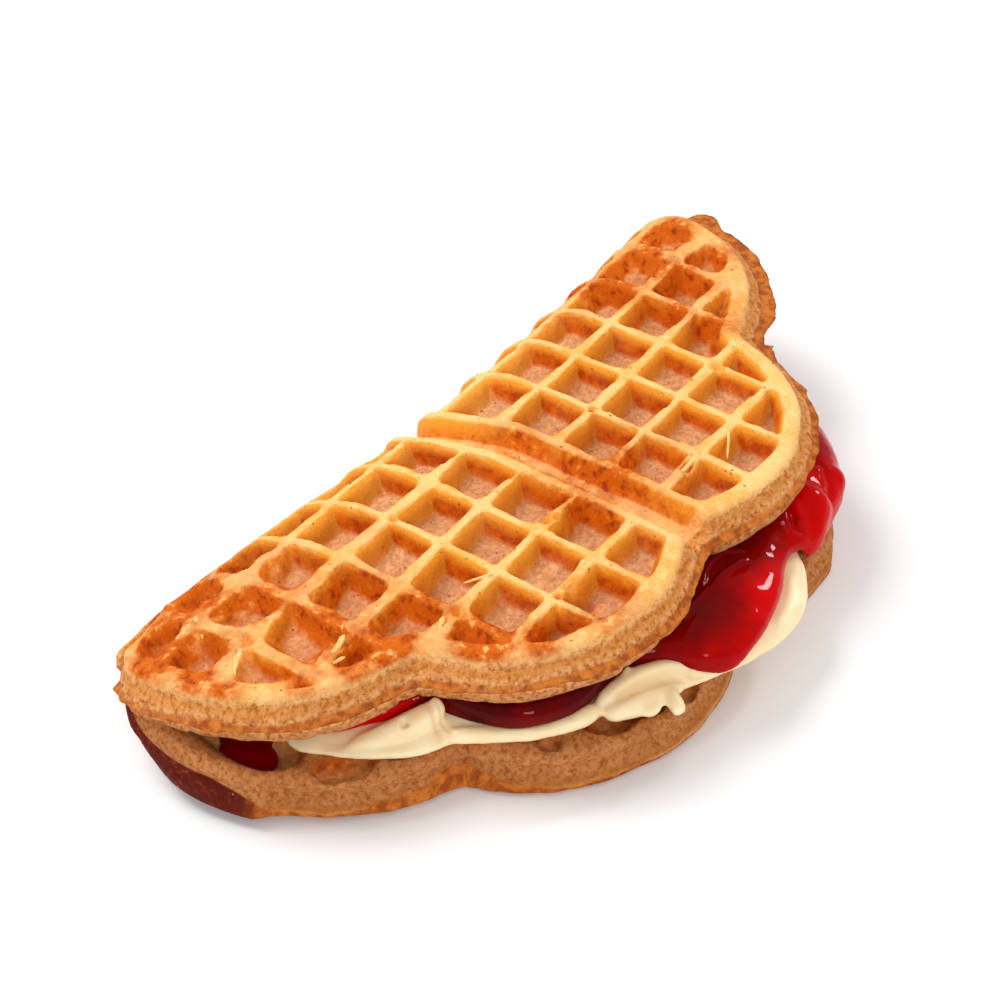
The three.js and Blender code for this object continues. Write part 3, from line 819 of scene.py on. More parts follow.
@dataclass
class Waffle:
    """The folded waffle: both faces, the rim and its thin seam."""

    iron: Iron
    fold: Fold
    seed: int = 23
    skirt: Spot = (-6.4, 2.08, 0.38, 0.38)     # the lower rim spreads on the ground here
    tuck: Spot = (-6.3, 0.9, 0.65, 0.8)        # the rim is thin at the bend's end
    calm: Spot = (-6.3, 0.8, 1.1, 1.0)         # and smooth
    crust_rise: Spot = (-4.4, 4.1, 1.2, 0.2)   # the lower rim's dark crust climbs
    crust: float = 0.1                         # depth of that crust
    burnt_crust: float = 0.45                  # and how much deeper it is on the dark stretch at the left end
    lower_from: Span = (1.5, 0.8)              # where the lower half's section takes over
    burnt_beyond: float = -5.0                 # the dark stretch of the rim at the left end of the lower half: well-browned crust with painted shade in it
    burnt_from: Span = (0.6, 0.3)
    burnt_to: Span = (2.05, 0.55)
    inner_part: float = 0.56                   # depth beyond which the rim follows the wells
    rough_from: Span = (0.08, 0.12)            # depths over which the rim turns rough
    side_from: Span = (0.03, 0.14)             # takes the colour of its side
    brown_to: Span = (0.0, 0.16)               # loses the browning of the face
    low_from: Span = (0.44, 0.12)              # and darkens again towards the inner face
    skirt_from: Span = (0.3, 0.4)              # depths over which the skirt draws in again
    seam_depth: float = 0.36                   # where the seam's colour is strongest
    seam_half: float = 0.055                   # and how wide that colour is to each side
    wave_edge: float = 0.2                     # the waves fade out this near both faces
    brown_left: Span = (2.6, 2.0)              # both ends are baked a little darker
    brown_right: Span = (3.8, 1.6)
    outline_points: int = 6000                 # from which the rim is spaced out
    path_step: float = 0.025                   # between two of the paths round the rim
    path_ends: tuple[float, float] = (-0.3, 1.15)     # how far out the first and last lie
    well_browning: tuple[Spot, ...] = ((-5.7, 3.0, 0.5, 0.4), (-3.0, 5.8, 0.5, 0.3))
    patches: tuple[Spot, ...] = (
        # the darker patches of the outer face
        (-5.65, -2.15, 0.42, 1.0), (-4.75, -2.05, 0.42, 1.0), (-4.65, -3.0, 0.42, 0.9),
        (-5.6, -3.3, 0.34, 1.0), (-6.0, -1.1, 0.5, 1.0), (-4.9, -1.3, 0.5, 0.8),
        (-4.35, -4.05, 0.45, 1.0), (-5.3, -3.9, 0.3, 0.8), (-3.6, -3.9, 0.4, 0.8),
        (-3.65, -4.85, 0.4, 0.9), (-6.3, -2.7, 0.3, 0.9),
        (-4.8, -3.9, 0.7, 1.0), (-5.6, -3.7, 0.6, 1.0), (-3.8, -3.0, 0.5, 0.8),
        (-3.7, -4.1, 0.45, 0.7), (-3.7, -5.1, 0.6, 0.95), (-3.0, -2.2, 0.35, 0.5),
        (-4.2, -2.2, 0.4, 0.6), (-3.2, -5.8, 0.4, 0.8), (4.5, -2.1, 0.6, 0.9),
        (5.1, -2.0, 0.6, 1.0), (5.2, -2.9, 0.6, 1.0), (4.3, -3.0, 0.5, 0.8),
        (5.8, -2.9, 0.6, 0.9), (4.4, -3.9, 0.35, 0.6), (6.1, -1.9, 0.5, 0.8),
        (-6.2, -1.4, 0.6, 0.9), (-5.0, -0.6, 1.2, 0.8), (4.2, -0.8, 1.2, 0.5),
        (0.3, -3.0, 0.5, 0.5), (-2.1, -6.2, 0.5, 0.7), (-1.2, -5.9, 0.3, 0.5),
        (0.28, -4.6, 1.0, 0.7), (-4.5, -5.0, 0.35, 0.8), (-6.2, -2.2, 0.35, 0.9),
    )
    shoulder: tuple[float, ...] = (
        -0.25, -0.225, -0.2, -0.175, -0.15, -0.125, -0.1, -0.07, -0.04, 0.0)
    flashes: tuple[Spot, ...] = (
        # where batter ran out of the iron, with the width of it
        (-4.9, 4.2, 1.3, 0.1), (-3.75, 5.2, 0.9, 0.1), (-6.3, -0.45, 0.25, 0.12),
        (-0.85, 6.25, 0.5, 0.14), (6.3, 2.6, 0.9, 0.24), (5.2, 4.0, 0.8, 0.12),
        (2.2, 6.3, 0.8, 0.1), (5.9, -3.1, 1.2, 0.14), (6.4, -1.6, 0.6, 0.3),
        (4.1, -4.4, 0.45, 0.12), (5.2, -3.8, 0.3, 0.1),
    )
    strands: tuple[tuple[float, ...], ...] = (
        # flat x, y and depth of both ends, and radius, of strands of batter across the wells
        (-5.58, -2.48, -0.03, -6.05, -2.62, 0.1, 0.05),
        (-4.6, -3.4, -0.03, -5.16, -3.46, 0.08, 0.055),
        (-4.9, -3.66, -0.02, -5.22, -3.38, 0.12, 0.035),
        (-3.6, -4.36, -0.03, -4.0, -4.5, 0.1, 0.05),
        (-1.5, -5.32, 0.0, -2.15, -5.42, 0.1, 0.06),
        (-1.62, -5.5, 0.02, -2.2, -5.3, 0.14, 0.03),
        (1.42, -5.44, -0.02, 0.84, -5.4, 0.08, 0.05),
        (2.22, -5.44, 0.0, 1.68, -5.8, 0.12, 0.03),
        (-5.33, -1.38, -0.02, -5.62, -1.74, 0.08, 0.04),
        (-2.53, -4.42, -0.02, -2.82, -4.13, 0.1, 0.035),
    )
    strand_steps: int = 10          # rings of a strand, and places in a ring
    strand_sides: int = 7

    def __post_init__(self) -> None:
        """Draws the noise that makes the rim and the browning uneven."""
        self.grain = Grain(self.seed)

    def strand(self, ends: tuple[float, ...]) -> Array:
        """One strand that thins out along its length and sags a little.

        Args:
            ends: flat x, y and depth of both ends, and its radius.

        Returns:
            Flat x, y and depth by ring and by place in the ring.
        """
        t = np.linspace(0, 1, self.strand_steps)[:, None]
        start, end, radius = np.array(ends[:3]), np.array(ends[3:6]), ends[6]
        middle = start + (end - start) * t
        middle[:, 2:] += 0.5 * radius * np.sin(math.pi * t)
        middle[:, :1] += 0.4 * radius * self.grain.at(t * 4 + start[0], t)
        middle[:, 1:2] += 0.4 * radius * self.grain.at(t * 4 + start[1], t + 30)
        thick = radius * (1 - 0.55 * t) * np.sqrt(np.clip(1 - (2 * t - 1) ** 6, 0.02, 1))
        ahead = (end - start)[:2] / np.linalg.norm((end - start)[:2])
        turn = np.linspace(0, 2 * math.pi, self.strand_sides, endpoint=False)[None]
        side, rise = thick * np.cos(turn), thick * np.sin(turn)
        return np.stack([middle[:, :1] - ahead[1] * side, middle[:, 1:2] + ahead[0] * side,
                         middle[:, 2:] - 0.8 * rise], -1)

    def strand_faces(self, first: int) -> list:
        """Faces of all strands.

        Args:
            first: number of their first vertex.

        Returns:
            The faces.
        """
        count = self.strand_steps * self.strand_sides
        return [face for k in range(len(self.strands))
                for face in tube_faces(self.strand_steps, self.strand_sides, first + k * count)]

    def build(self) -> bpy.types.Object:
        """Builds the waffle's mesh.

        Returns:
            The object, with the marks that its finish reads.
        """
        g = self.iron.groove_half
        fine = grid_lines(g, FINE, FINE_GROOVE, REACH)
        plain = grid_lines(g, PLAIN, PLAIN_GROOVE, REACH)
        loose = grid_lines(g, LOOSE, LOOSE_GROOVE, REACH)
        outer = Sheet(self.iron, both_sides(fine, fine), both_sides(fine, plain),
                      self.shoulder[0] - self.path_step)
        inner = Sheet(self.iron, both_sides(plain, plain), both_sides(loose, plain),
                      self.iron.inner_rim + 0.04)
        rim_flat, rim_depth, rim_marks = self.rim()
        outer_depth, _ = self.iron.outer_depth(outer.points[:, 0], outer.points[:, 1])
        inner_lift, _ = self.iron.inner_depth_at(inner.points[:, 0], inner.points[:, 1])
        strands = np.concatenate([self.strand(ends).reshape(-1, 3) for ends in self.strands])
        plain_marks = {key: np.zeros(len(strands)) for key in MARKS}
        flat = np.concatenate([outer.points, rim_flat, inner.points, strands[:, :2]])
        depth = np.concatenate([outer_depth, rim_depth, self.iron.thickness - inner_lift,
                                strands[:, 2]])
        points = self.fold.place(*self.iron.warp(flat[:, 0], flat[:, 1]), -depth)
        parts = (self.face_marks(outer.points), rim_marks, self.inner_marks(inner.points),
                 plain_marks)
        marks = {key: np.concatenate([part[key] for part in parts]) for key in MARKS}
        faces = self.faces(outer, inner, rim_flat) + self.strand_faces(len(flat) - len(strands))
        return make_piece("folded_waffle", points, faces, marks)

    @staticmethod
    def faces(outer: Sheet, inner: Sheet, rim: Array) -> list:
        """Joins the two sheets and the rim.

        Args:
            outer, inner: the sheets of the two faces.
            rim: flat positions of the rim's rings, from the outer face to the inner one.

        Returns:
            All their faces.
        """
        first_rim, first_inner = len(outer.points), len(outer.points) + len(rim)
        faces = outer.quads.tolist()
        faces += (inner.quads[:, ::-1] + first_inner).tolist()
        index = np.arange(len(rim)).reshape(-1, RIM_STEPS) + first_rim
        ahead = np.roll(index, -1, axis=1)
        quads = np.stack([index[:-1], index[1:], ahead[1:], ahead[:-1]], -1)
        faces += quads.reshape(-1, 4).tolist()
        faces += stitch(outer.loop, outer.points[outer.loop], index[0], rim[:RIM_STEPS])
        closing = stitch(inner.loop + first_inner, inner.points[inner.loop], index[-1],
                         rim[-RIM_STEPS:])
        faces += [(a, c, b) for a, b, c in closing]
        return faces

    def rim_paths(self) -> tuple[Array, Array]:
        """Paths round the waffle, each a little farther out than the one before.

        Returns:
            How far along the outline each place is, and the positions by path and place.
        """
        dense = self.iron.outline(self.outline_points)
        gaps = np.linalg.norm(np.roll(dense, -1, 0) - dense, axis=1)
        run = np.concatenate([[0.0], np.cumsum(gaps)])
        closed = np.concatenate([dense, dense[:1]])
        along = np.linspace(0, run[-1], RIM_STEPS, endpoint=False)
        ring = np.stack([np.interp(along, run, closed[:, k]) for k in (0, 1)], 1)
        reach = np.arange(*self.path_ends, self.path_step)
        paths = [ring, self.iron.slide(ring, reach[0])]
        for target in reach[1:]:
            even = 0.6 * paths[-1] + 0.2 * (np.roll(paths[-1], 1, 0) + np.roll(paths[-1], -1, 0))
            paths.append(self.iron.slide(even, target))
        return along, np.array(paths)

    def flash_width(self, x: Array, y: Array, along: Array, below: Array) -> Array:
        """How far the thin seam of the iron stands out round the rim.

        Args:
            x, y: positions round the rim ridge.
            along: how far along the outline they are.
            below: 1 round the lower half, 0 round the upper one.

        Returns:
            The width.
        """
        flash = 0.02 + 0.04 * self.grain.layered(along * 1.3, along * 0 + 3)
        flash += (0.03 - 0.02 * below) * self.grain.layered(along * 5, along * 0 + 9)
        for place in self.flashes:
            flash += spot(x, y, place)
        ragged = 1 + (0.3 - 0.2 * below) * self.grain.layered(along * 3.2, along * 0 + 15)
        return np.maximum(flash * ragged, 0.0)

    def rim(self) -> tuple[Array, Array, Marks]:
        """Rings round the rim, from the rim ridge down to the inner face.

        Returns:
            Flat positions, depths and marks of the rings' vertices.
        """
        along, paths = self.rim_paths()
        ring, paths = paths[0], paths[1:]
        x, y = ring[:, 0], ring[:, 1]
        below = ramp(y, self.lower_from)
        flash = self.flash_width(x, y, along, below)
        skirt, tuck = spot(x, y, self.skirt), 1 - spot(x, y, self.tuck)
        calm = 1 - spot(x, y, self.calm)
        # the dark stretch at the left end of the lower rim: partly well-browned crust, partly
        # painted shade
        burnt_and_shaded = (x < self.burnt_beyond) * ramp(y, self.burnt_from) * (1 - ramp(y, self.burnt_to))
        lower = np.maximum(below, burnt_and_shaded)
        crust = self.crust + spot(x, y, self.crust_rise) + self.burnt_crust * burnt_and_shaded
        crust = crust * (1 + 0.3 * self.grain.layered(along * 1.2, along * 0 + 33))
        flats, depths, marks = [], [], {key: [] for key in MARKS}
        for out in self.shoulder:
            path = int(round((out - self.path_ends[0]) / self.path_step))
            flat = self.iron.slide(paths[path], out)
            flats.append(flat)
            depths.append(self.iron.outer_depth(flat[:, 0], flat[:, 1])[0])
            for key, values in self.face_marks(flat).items():
                marks[key].append(values)
        for row, low_row in zip(RIM_SECTION, LOWER_SECTION):
            out, depth, share = (np.array(row)[:, None] * (1 - below)
                                 + np.array(low_row)[:, None] * below)
            wobble = 0.022 * calm * self.grain.layered(along * 1.1 + 50, depth * 3)
            bumps = 0.03 * calm * self.grain.at(along * 4, depth * 8)
            pits = smooth((self.grain.at(along * 9 + 40, depth * 13) - 0.35) / 0.4)
            rough = ramp(depth, self.rough_from) * (1 - share * (1 - below)) * calm
            outs = out + wobble + (bumps - 0.035 * pits) * rough + flash * share
            fall = 1 - 0.3 * ramp(depth, self.skirt_from)
            outs = (outs + skirt * smooth(depth / 0.04) * fall) * tuck
            middle = smooth(depth / self.wave_edge)
            middle = middle * smooth((self.iron.thickness - depth) / self.wave_edge)
            wave = 0.02 * calm * self.grain.layered(along * 0.8, along * 0 + 20) * middle
            curl = self.grain.layered(along * 2.1, along * 0 + 60)
            wave = wave + 0.12 * flash * share * (1 - below) * curl
            flat = self.between(paths, outs)
            channel = self.iron.groove_at(flat[:, 0], flat[:, 1])
            level = depth + wave + 0.008 * self.grain.layered(along * 3, depth * 5 + along * 0)
            lift, hole = self.iron.inner_depth_at(flat[:, 0], flat[:, 1])
            deepest = self.iron.thickness - lift * hole
            sunk = (depth > self.inner_part) & (y > 0)
            level = np.where(sunk, np.minimum(level, deepest), level)
            flats.append(flat)
            depths.append(np.maximum(level, channel))
            open_end = smooth((channel - level) / 0.1)
            fringe = np.maximum(share, 0.9 * bell(depth - self.seam_depth, self.seam_half))
            fringe = fringe * smooth((flash + 0.06) / 0.12)
            ring_marks = {
                "well": 0.45 * open_end, "wall": 0.3 * open_end, "face": np.ones(RIM_STEPS),
                "brown": self.browning(x, y) * (1 - ramp(depth, self.brown_to)),
                "side": ramp(depth, self.side_from),
                "seam": fringe * (1 - lower) + lower * smooth((crust - depth) / 0.07 + 0.5),
                "burnt_and_shaded": burnt_and_shaded, "level": depth,
                "low": np.maximum(lower, 0.7 * ramp(depth, self.low_from))}
            for key, values in ring_marks.items():
                marks[key].append(values)
        marks = {key: np.concatenate(values) for key, values in marks.items()}
        return np.concatenate(flats), np.concatenate(depths), marks

    def between(self, paths: Array, outs: Array) -> Array:
        """Positions between the paths round the rim.

        Args:
            paths: positions by path and place.
            outs: how far out each place is to lie.

        Returns:
            One position for each place.
        """
        slot = np.clip((outs - self.path_ends[0]) / self.path_step, 0, len(paths) - 1.001)
        low = slot.astype(int)
        part = (slot - low)[:, None]
        column = np.arange(RIM_STEPS)
        return paths[low, column] * (1 - part) + paths[low + 1, column] * part

    def browning(self, x: Array, y: Array) -> Array:
        """How dark the face is baked.

        Args:
            x, y: flat pattern positions.

        Returns:
            The browning, from 0 to 1.
        """
        ends = 0.32 * ramp(-x, self.brown_left) + 0.28 * ramp(x, self.brown_right)
        total = np.maximum(np.zeros_like(x), ends)
        for place in self.patches:
            total = np.maximum(total, spot(x, y, place))
        cloud = self.grain.layered(x * 1.6 + 80, y * 1.6)
        return np.clip(total * (0.75 + 0.6 * cloud), 0, 1)

    def face_marks(self, points: Array, step: float = 0.02) -> Marks:
        """Marks of the outer face.

        Args:
            points: flat positions, one row each.
            step: distance over which its slope is taken.

        Returns:
            The marks.
        """
        x, y = points[:, 0], points[:, 1]
        shape = self.iron.outer_depth
        gx = (shape(x + step, y)[0] - shape(x - step, y)[0]) / (2 * step)
        gy = (shape(x, y + step)[0] - shape(x, y - step)[0]) / (2 * step)
        gx, gy = gx / self.iron.well_depth, gy / self.iron.well_depth
        slope = np.hypot(gx, gy)
        marks = {key: np.zeros(len(x)) for key in MARKS}
        # face is the share of a slope that faces along X; the finish paints shade on walls that
        # face along Y
        marks.update(well=shape(x, y)[1], wall=np.clip(slope / 4.5, 0, 1),
                     face=np.abs(gx) / (slope + 0.2), brown=self.browning(x, y))
        return marks

    def inner_marks(self, points: Array) -> Marks:
        """Marks of the inner face.

        Args:
            points: flat positions, one row each.

        Returns:
            The marks.
        """
        x, y = points[:, 0], points[:, 1]
        _, floor = self.iron.inner_depth_at(x, y)
        one = np.ones(len(x))
        brown = sum((spot(x, y, place) for place in self.well_browning), 0.25)
        marks = {key: np.zeros(len(x)) for key in MARKS}
        marks.update(well=floor * 0.7, wall=4 * floor * (1 - floor) * 0.8, face=one,
                     brown=brown * floor, side=one - floor, level=one * self.iron.thickness,
                     low=smooth(y))
        return marks

    def dress(self, piece: bpy.types.Object, material: bpy.types.Material) -> None:
        """Gives the waffle its finish and its place in the frame.

        Args:
            piece: the waffle.
            material: its finish.
        """
        piece.data.materials.append(material)
        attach(piece, BODY)
        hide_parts("waffle")


@dataclass(frozen=True)
class Flecks:
    """Small dark flecks of bran and crumbs that stick to the waffle."""

    density: float = 38000.0        # per square metre
    smallest: float = 0.0001
    largest: float = 0.0003
    lowest: float = 0.004           # nothing nearer the ground than this
    open_to: float = 0.7            # and nothing deeper than this many cells in the batter
    slimmest: tuple[float, float, float] = (0.6, 0.6, 0.3)     # shares of the size
    widest: tuple[float, float, float] = (1.5, 1.2, 0.6)
    turned: tuple[float, float, float] = (0.4, 0.4, 6.3)       # radians at most
    seed: int = 5

    def group(self) -> bpy.types.NodeTree:
        """Node group that scatters flecks over a surface.

        Returns:
            The group, with named inputs for everything that can be set.
        """
        tree = bpy.data.node_groups.new("scatter_flecks", "GeometryNodeTree")
        sockets = [("Surface", "Geometry"), ("Density", "Float"), ("Smallest", "Float"),
                   ("Largest", "Float"), ("Lowest", "Float"), ("Open", "Float"),
                   ("Seed", "Int"), ("Finish", "Material")]
        for name, kind in sockets:
            tree.interface.new_socket(name, in_out="INPUT", socket_type="NodeSocket" + kind)
        tree.interface.new_socket("Flecks", in_out="OUTPUT", socket_type="NodeSocketGeometry")

        def add(kind: str, links: dict, **settings: object) -> bpy.types.Node:
            """Adds a node.

            Args:
                kind: the node's type.
                links: a link or a value for each of its sockets.
                settings: its properties, set first.

            Returns:
                The node.
            """
            node = tree.nodes.new(kind)
            for key, value in settings.items():
                setattr(node, key, value)
            for key, value in links.items():
                if isinstance(value, bpy.types.NodeSocket):
                    tree.links.new(value, node.inputs[key])
                else:
                    node.inputs[key].default_value = value
            return node

        given = add("NodeGroupInput", {}).outputs
        place = add("ShaderNodeSeparateXYZ", {0: add("GeometryNodeInputPosition", {}).outputs[0]})
        high = add("ShaderNodeMath", {0: place.outputs[2], 1: given["Lowest"]},
                   operation="GREATER_THAN")
        bare = add("GeometryNodeInputNamedAttribute", {"Name": "level"}, data_type="FLOAT")
        open_face = add("ShaderNodeMath", {0: bare.outputs[0], 1: given["Open"]},
                        operation="LESS_THAN")
        both = add("ShaderNodeMath", {0: high.outputs[0], 1: open_face.outputs[0]},
                   operation="MULTIPLY")
        where = add("GeometryNodeDistributePointsOnFaces", {
            "Mesh": given["Surface"], "Density": given["Density"], "Seed": given["Seed"],
            "Selection": both.outputs[0]})
        ball = add("GeometryNodeMeshIcoSphere", {"Radius": 1.0, "Subdivisions": 1})
        size = add("FunctionNodeRandomValue", {
            2: given["Smallest"], 3: given["Largest"], "Seed": given["Seed"]}, data_type="FLOAT")
        wide = add("FunctionNodeRandomValue", {
            0: self.slimmest, 1: self.widest, "Seed": given["Seed"]}, data_type="FLOAT_VECTOR")
        scale = add("ShaderNodeVectorMath", {0: wide.outputs[0], 3: size.outputs[1]},
                    operation="SCALE")
        turn = add("FunctionNodeRandomValue", {
            0: (0.0, 0.0, 0.0), 1: self.turned, "Seed": given["Seed"]}, data_type="FLOAT_VECTOR")
        facing = add("FunctionNodeRotateRotation", {
            0: where.outputs["Rotation"], 1: turn.outputs[0]}, rotation_space="LOCAL")
        placed = add("GeometryNodeInstanceOnPoints", {
            "Points": where.outputs["Points"], "Instance": ball.outputs["Mesh"],
            "Rotation": facing.outputs[0], "Scale": scale.outputs[0]})
        real = add("GeometryNodeRealizeInstances", {0: placed.outputs[0]})
        dressed = add("GeometryNodeSetMaterial", {
            "Geometry": real.outputs[0], "Material": given["Finish"]})
        add("NodeGroupOutput", {0: dressed.outputs[0]})
        return tree

    def build(self, surface: bpy.types.Object, material: bpy.types.Material) -> bpy.types.Object:
        """Scatters the flecks over a piece and makes them a piece of their own.

        Args:
            surface: the piece that they stick to.
            material: their finish.

        Returns:
            The flecks as one plain mesh.
        """
        carrier = bpy.data.objects.new("fleck_carrier", surface.data)
        bpy.context.scene.collection.objects.link(carrier)
        scatter = carrier.modifiers.new("scatter", "NODES")
        scatter.node_group = self.group()
        values = {"Density": self.density, "Smallest": self.smallest, "Largest": self.largest,
                  "Lowest": self.lowest, "Open": self.open_to, "Seed": self.seed,
                  "Finish": material}
        for item in scatter.node_group.interface.items_tree:
            if item.name in values and item.in_out == "INPUT":
                scatter[item.identifier] = values[item.name]
        graph = bpy.context.evaluated_depsgraph_get()
        mesh = bpy.data.meshes.new_from_object(carrier.evaluated_get(graph))
        mesh.name = "crust_flecks"
        bpy.data.objects.remove(carrier)
        piece = bpy.data.objects.new("crust_flecks", mesh)
        bpy.context.scene.collection.objects.link(piece)
        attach(piece, BODY)
        return piece


# ------------------------------------------------------------------ filling

def even_run(corners: Array, count: int, rounds: int) -> Array:
    """An evenly spaced, rounded run of points through corners.

    Args:
        corners: one row for each corner.
        count: how many points to return.
        rounds: how often the run is smoothed.

    Returns:
        The points, one row each.
    """
    steps = np.linalg.norm(np.diff(corners, axis=0), axis=1)
    run = np.concatenate([[0], np.cumsum(steps)])
    t = np.linspace(0, run[-1], count)
    line = np.stack([np.interp(t, run, corners[:, k]) for k in range(corners.shape[1])], 1)
    for _ in range(rounds):
        line[1:-1] = 0.5 * line[1:-1] + 0.25 * (line[:-2] + line[2:])
    return line


@dataclass
class Clay:
    """Closed shapes that are melted into one soft skin. Positions are in cells."""

    fold: Fold
    voxel: float                    # metres
    soften: int = 5                 # smoothing passes
    keep: float = 0.55              # share of the faces that stay
    rope_sides: int = 14
    rope_rounds: int = 12           # how often a rope's run is smoothed
    rope_ends: int = 6              # rings over which a rope's end closes
    ball_rows: int = 14
    ball_sides: int = 20
    pole: float = 0.06              # radians that a ball leaves open at its poles
    points: list[Array] = field(default_factory=list)
    faces: list[list[int]] = field(default_factory=list)
    count: int = 0

    def add_loft(self, rings: Array) -> None:
        """Adds a closed body.

        Args:
            rings: positions by ring, by place in the ring and by axis.
        """
        rows, across, _ = rings.shape
        self.faces += tube_faces(rows, across, self.count)
        self.points.append(rings.reshape(-1, 3))
        self.count += rows * across

    def add_rope(self, corners: Row, count: int = 40) -> None:
        """Adds a rope along a run of points.

        Args:
            corners: x, y, z and radius at each point.
            count: how many rings it gets.
        """
        line = even_run(np.array(corners), count, self.rope_rounds)
        middle, radius = line[:, :3], line[:, 3]
        ends = np.minimum(np.arange(count), np.arange(count)[::-1])
        round_off = np.minimum((ends + 0.3) / self.rope_ends, 1)
        radius = radius * np.sqrt(1 - (1 - round_off) ** 2)
        ahead = np.gradient(middle, axis=0)
        ahead /= np.linalg.norm(ahead, axis=1, keepdims=True)
        side = np.cross(ahead, [0.0, 0.0, 1.0])
        side /= np.linalg.norm(side, axis=1, keepdims=True)
        up = np.cross(side, ahead)
        turn = np.linspace(0, 2 * math.pi, self.rope_sides, endpoint=False)[None, :, None]
        around = np.cos(turn) * side[:, None] + np.sin(turn) * up[:, None]
        self.add_loft(middle[:, None] + radius[:, None, None] * around)

    def add_ball(self, x: float, y: float, z: float, radii: tuple[float, float, float]) -> None:
        """Adds a ball.

        Args:
            x, y, z: its middle.
            radii: its radius along each axis.
        """
        tilt = np.linspace(self.pole, math.pi - self.pole, self.ball_rows)[:, None]
        turn = np.linspace(0, 2 * math.pi, self.ball_sides, endpoint=False)[None]
        unit = np.stack([np.sin(tilt) * np.cos(turn), np.sin(tilt) * np.sin(turn),
                         np.cos(tilt) * np.ones_like(turn)], -1)
        self.add_loft(np.array([x, y, z]) + unit * np.array(radii))

    def add_all(self, ropes: tuple[Row, ...], balls: Row) -> None:
        """Adds ropes, and balls given by their middles and radii.

        Args:
            ropes: the corners of each rope.
            balls: x, y, z and three radii of each ball.
        """
        for rope in ropes:
            self.add_rope(rope)
        for x, y, z, *radii in balls:
            self.add_ball(x, y, z, tuple(radii))

    def skin(self, name: str) -> bpy.types.Mesh:
        """Melts the shapes together.

        Args:
            name: name for the mesh.

        Returns:
            One closed mesh round all of them.
        """
        mesh = bpy.data.meshes.new(name + "_rough")
        mesh.from_pydata(self.fold.in_frame(np.concatenate(self.points)).tolist(), [], self.faces)
        rough = bpy.data.objects.new(name + "_rough", mesh)
        bpy.context.scene.collection.objects.link(rough)
        melt = rough.modifiers.new("melt", "REMESH")
        melt.mode, melt.voxel_size = "VOXEL", self.voxel
        soft = rough.modifiers.new("soft", "SMOOTH")
        soft.iterations = self.soften
        thin = rough.modifiers.new("thin", "DECIMATE")
        thin.ratio = self.keep
        graph = bpy.context.evaluated_depsgraph_get()
        skin = bpy.data.meshes.new_from_object(rough.evaluated_get(graph))
        skin.name = name
        bpy.data.objects.remove(rough)
        bpy.data.meshes.remove(mesh)
        return skin


@dataclass
class Layer:
    """A layer of filling, spread out to an uneven front edge. Sizes are in cells."""

    edge: tuple[tuple[float, float], ...]
    spine: tuple[tuple[float, float], tuple[float, float]] = ((-4.7, -2.9), (3.4, -2.4))
    stations: int = 240
    steep: float = 2.2
    foot: float = 0.35              # height of the edge's outermost line, as a share
    undercut: float = 0.35          # how far in the underside is rounded, as a share

    def front(self) -> Array:
        """The front edge as an evenly spaced run of points."""
        return even_run(np.array(self.edge), self.stations, 10)

    def rings(self, front: Array, floor: Callable, top: Callable, nose: Array) -> Array:
        """Sections from the spine over the top to the front, and back underneath.

        Args:
            front: the front edge.
            floor, top: heights for arrays of x and y.
            nose: length over which the front rounds off, at each point of it.

        Returns:
            Positions by section, by place in the section and by axis.
        """
        (x0, y0), (x1, y1) = self.spine
        share = np.clip((front[:, 0] - x0) / (x1 - x0), 0, 1)[:, None]
        inward = np.array([[x0, y0]]) + share * np.array([[x1 - x0, y1 - y0]]) - front
        depth = np.linalg.norm(inward, axis=1)
        inward /= depth[:, None]
        nose = np.minimum(nose, 0.8 * depth)
        near = np.linspace(0, 1, 15) ** 1.5
        back = np.linspace(0, 1, 7)[1:]
        rows = [(1 + t, 1.0) for t in back[::-1]]
        rows += [(u, self.foot + (1 - self.foot) * self.swell(u)) for u in near[::-1]]
        under = near[1:] * self.undercut
        rows += [(u, self.foot * (1 - self.swell(u / self.undercut))) for u in under]
        rows += [(1 + t, 0.0) for t in np.concatenate([[0.0], back])]
        ring = []
        for step, share in rows:
            reach = nose * step if step <= 1 else nose + (depth - nose) * (step - 1)
            x, y = (front + inward * reach[:, None]).T
            low = floor(x, y)
            ring.append(np.stack([x, y, low + (top(x, y) - low) * share], 1))
        return np.stack(ring, 1)

    def swell(self, u: float) -> float:
        """Rise of the rounded front, from 0 at its edge to 1 at full height."""
        return (1 - (1 - min(u, 1.0)) ** self.steep) ** (1 / self.steep)


def relief(points: Array, creases: Creases) -> Array:
    """Height of creases and wrinkles seen from above.

    Args:
        points: x and y in cells, one row each.
        creases: for each its run of points, its height and its width.

    Returns:
        The height at each point, in cells.
    """
    total = np.zeros(len(points))
    for run, height, width in creases:
        corners = even_run(np.array(run), 24, 3)
        gap, along = distance_to_run(points[:, 0], points[:, 1], corners)
        fade = smooth(along * 6) * smooth((1 - along) * 6)
        total += height * bell(gap, width) * fade
    return total


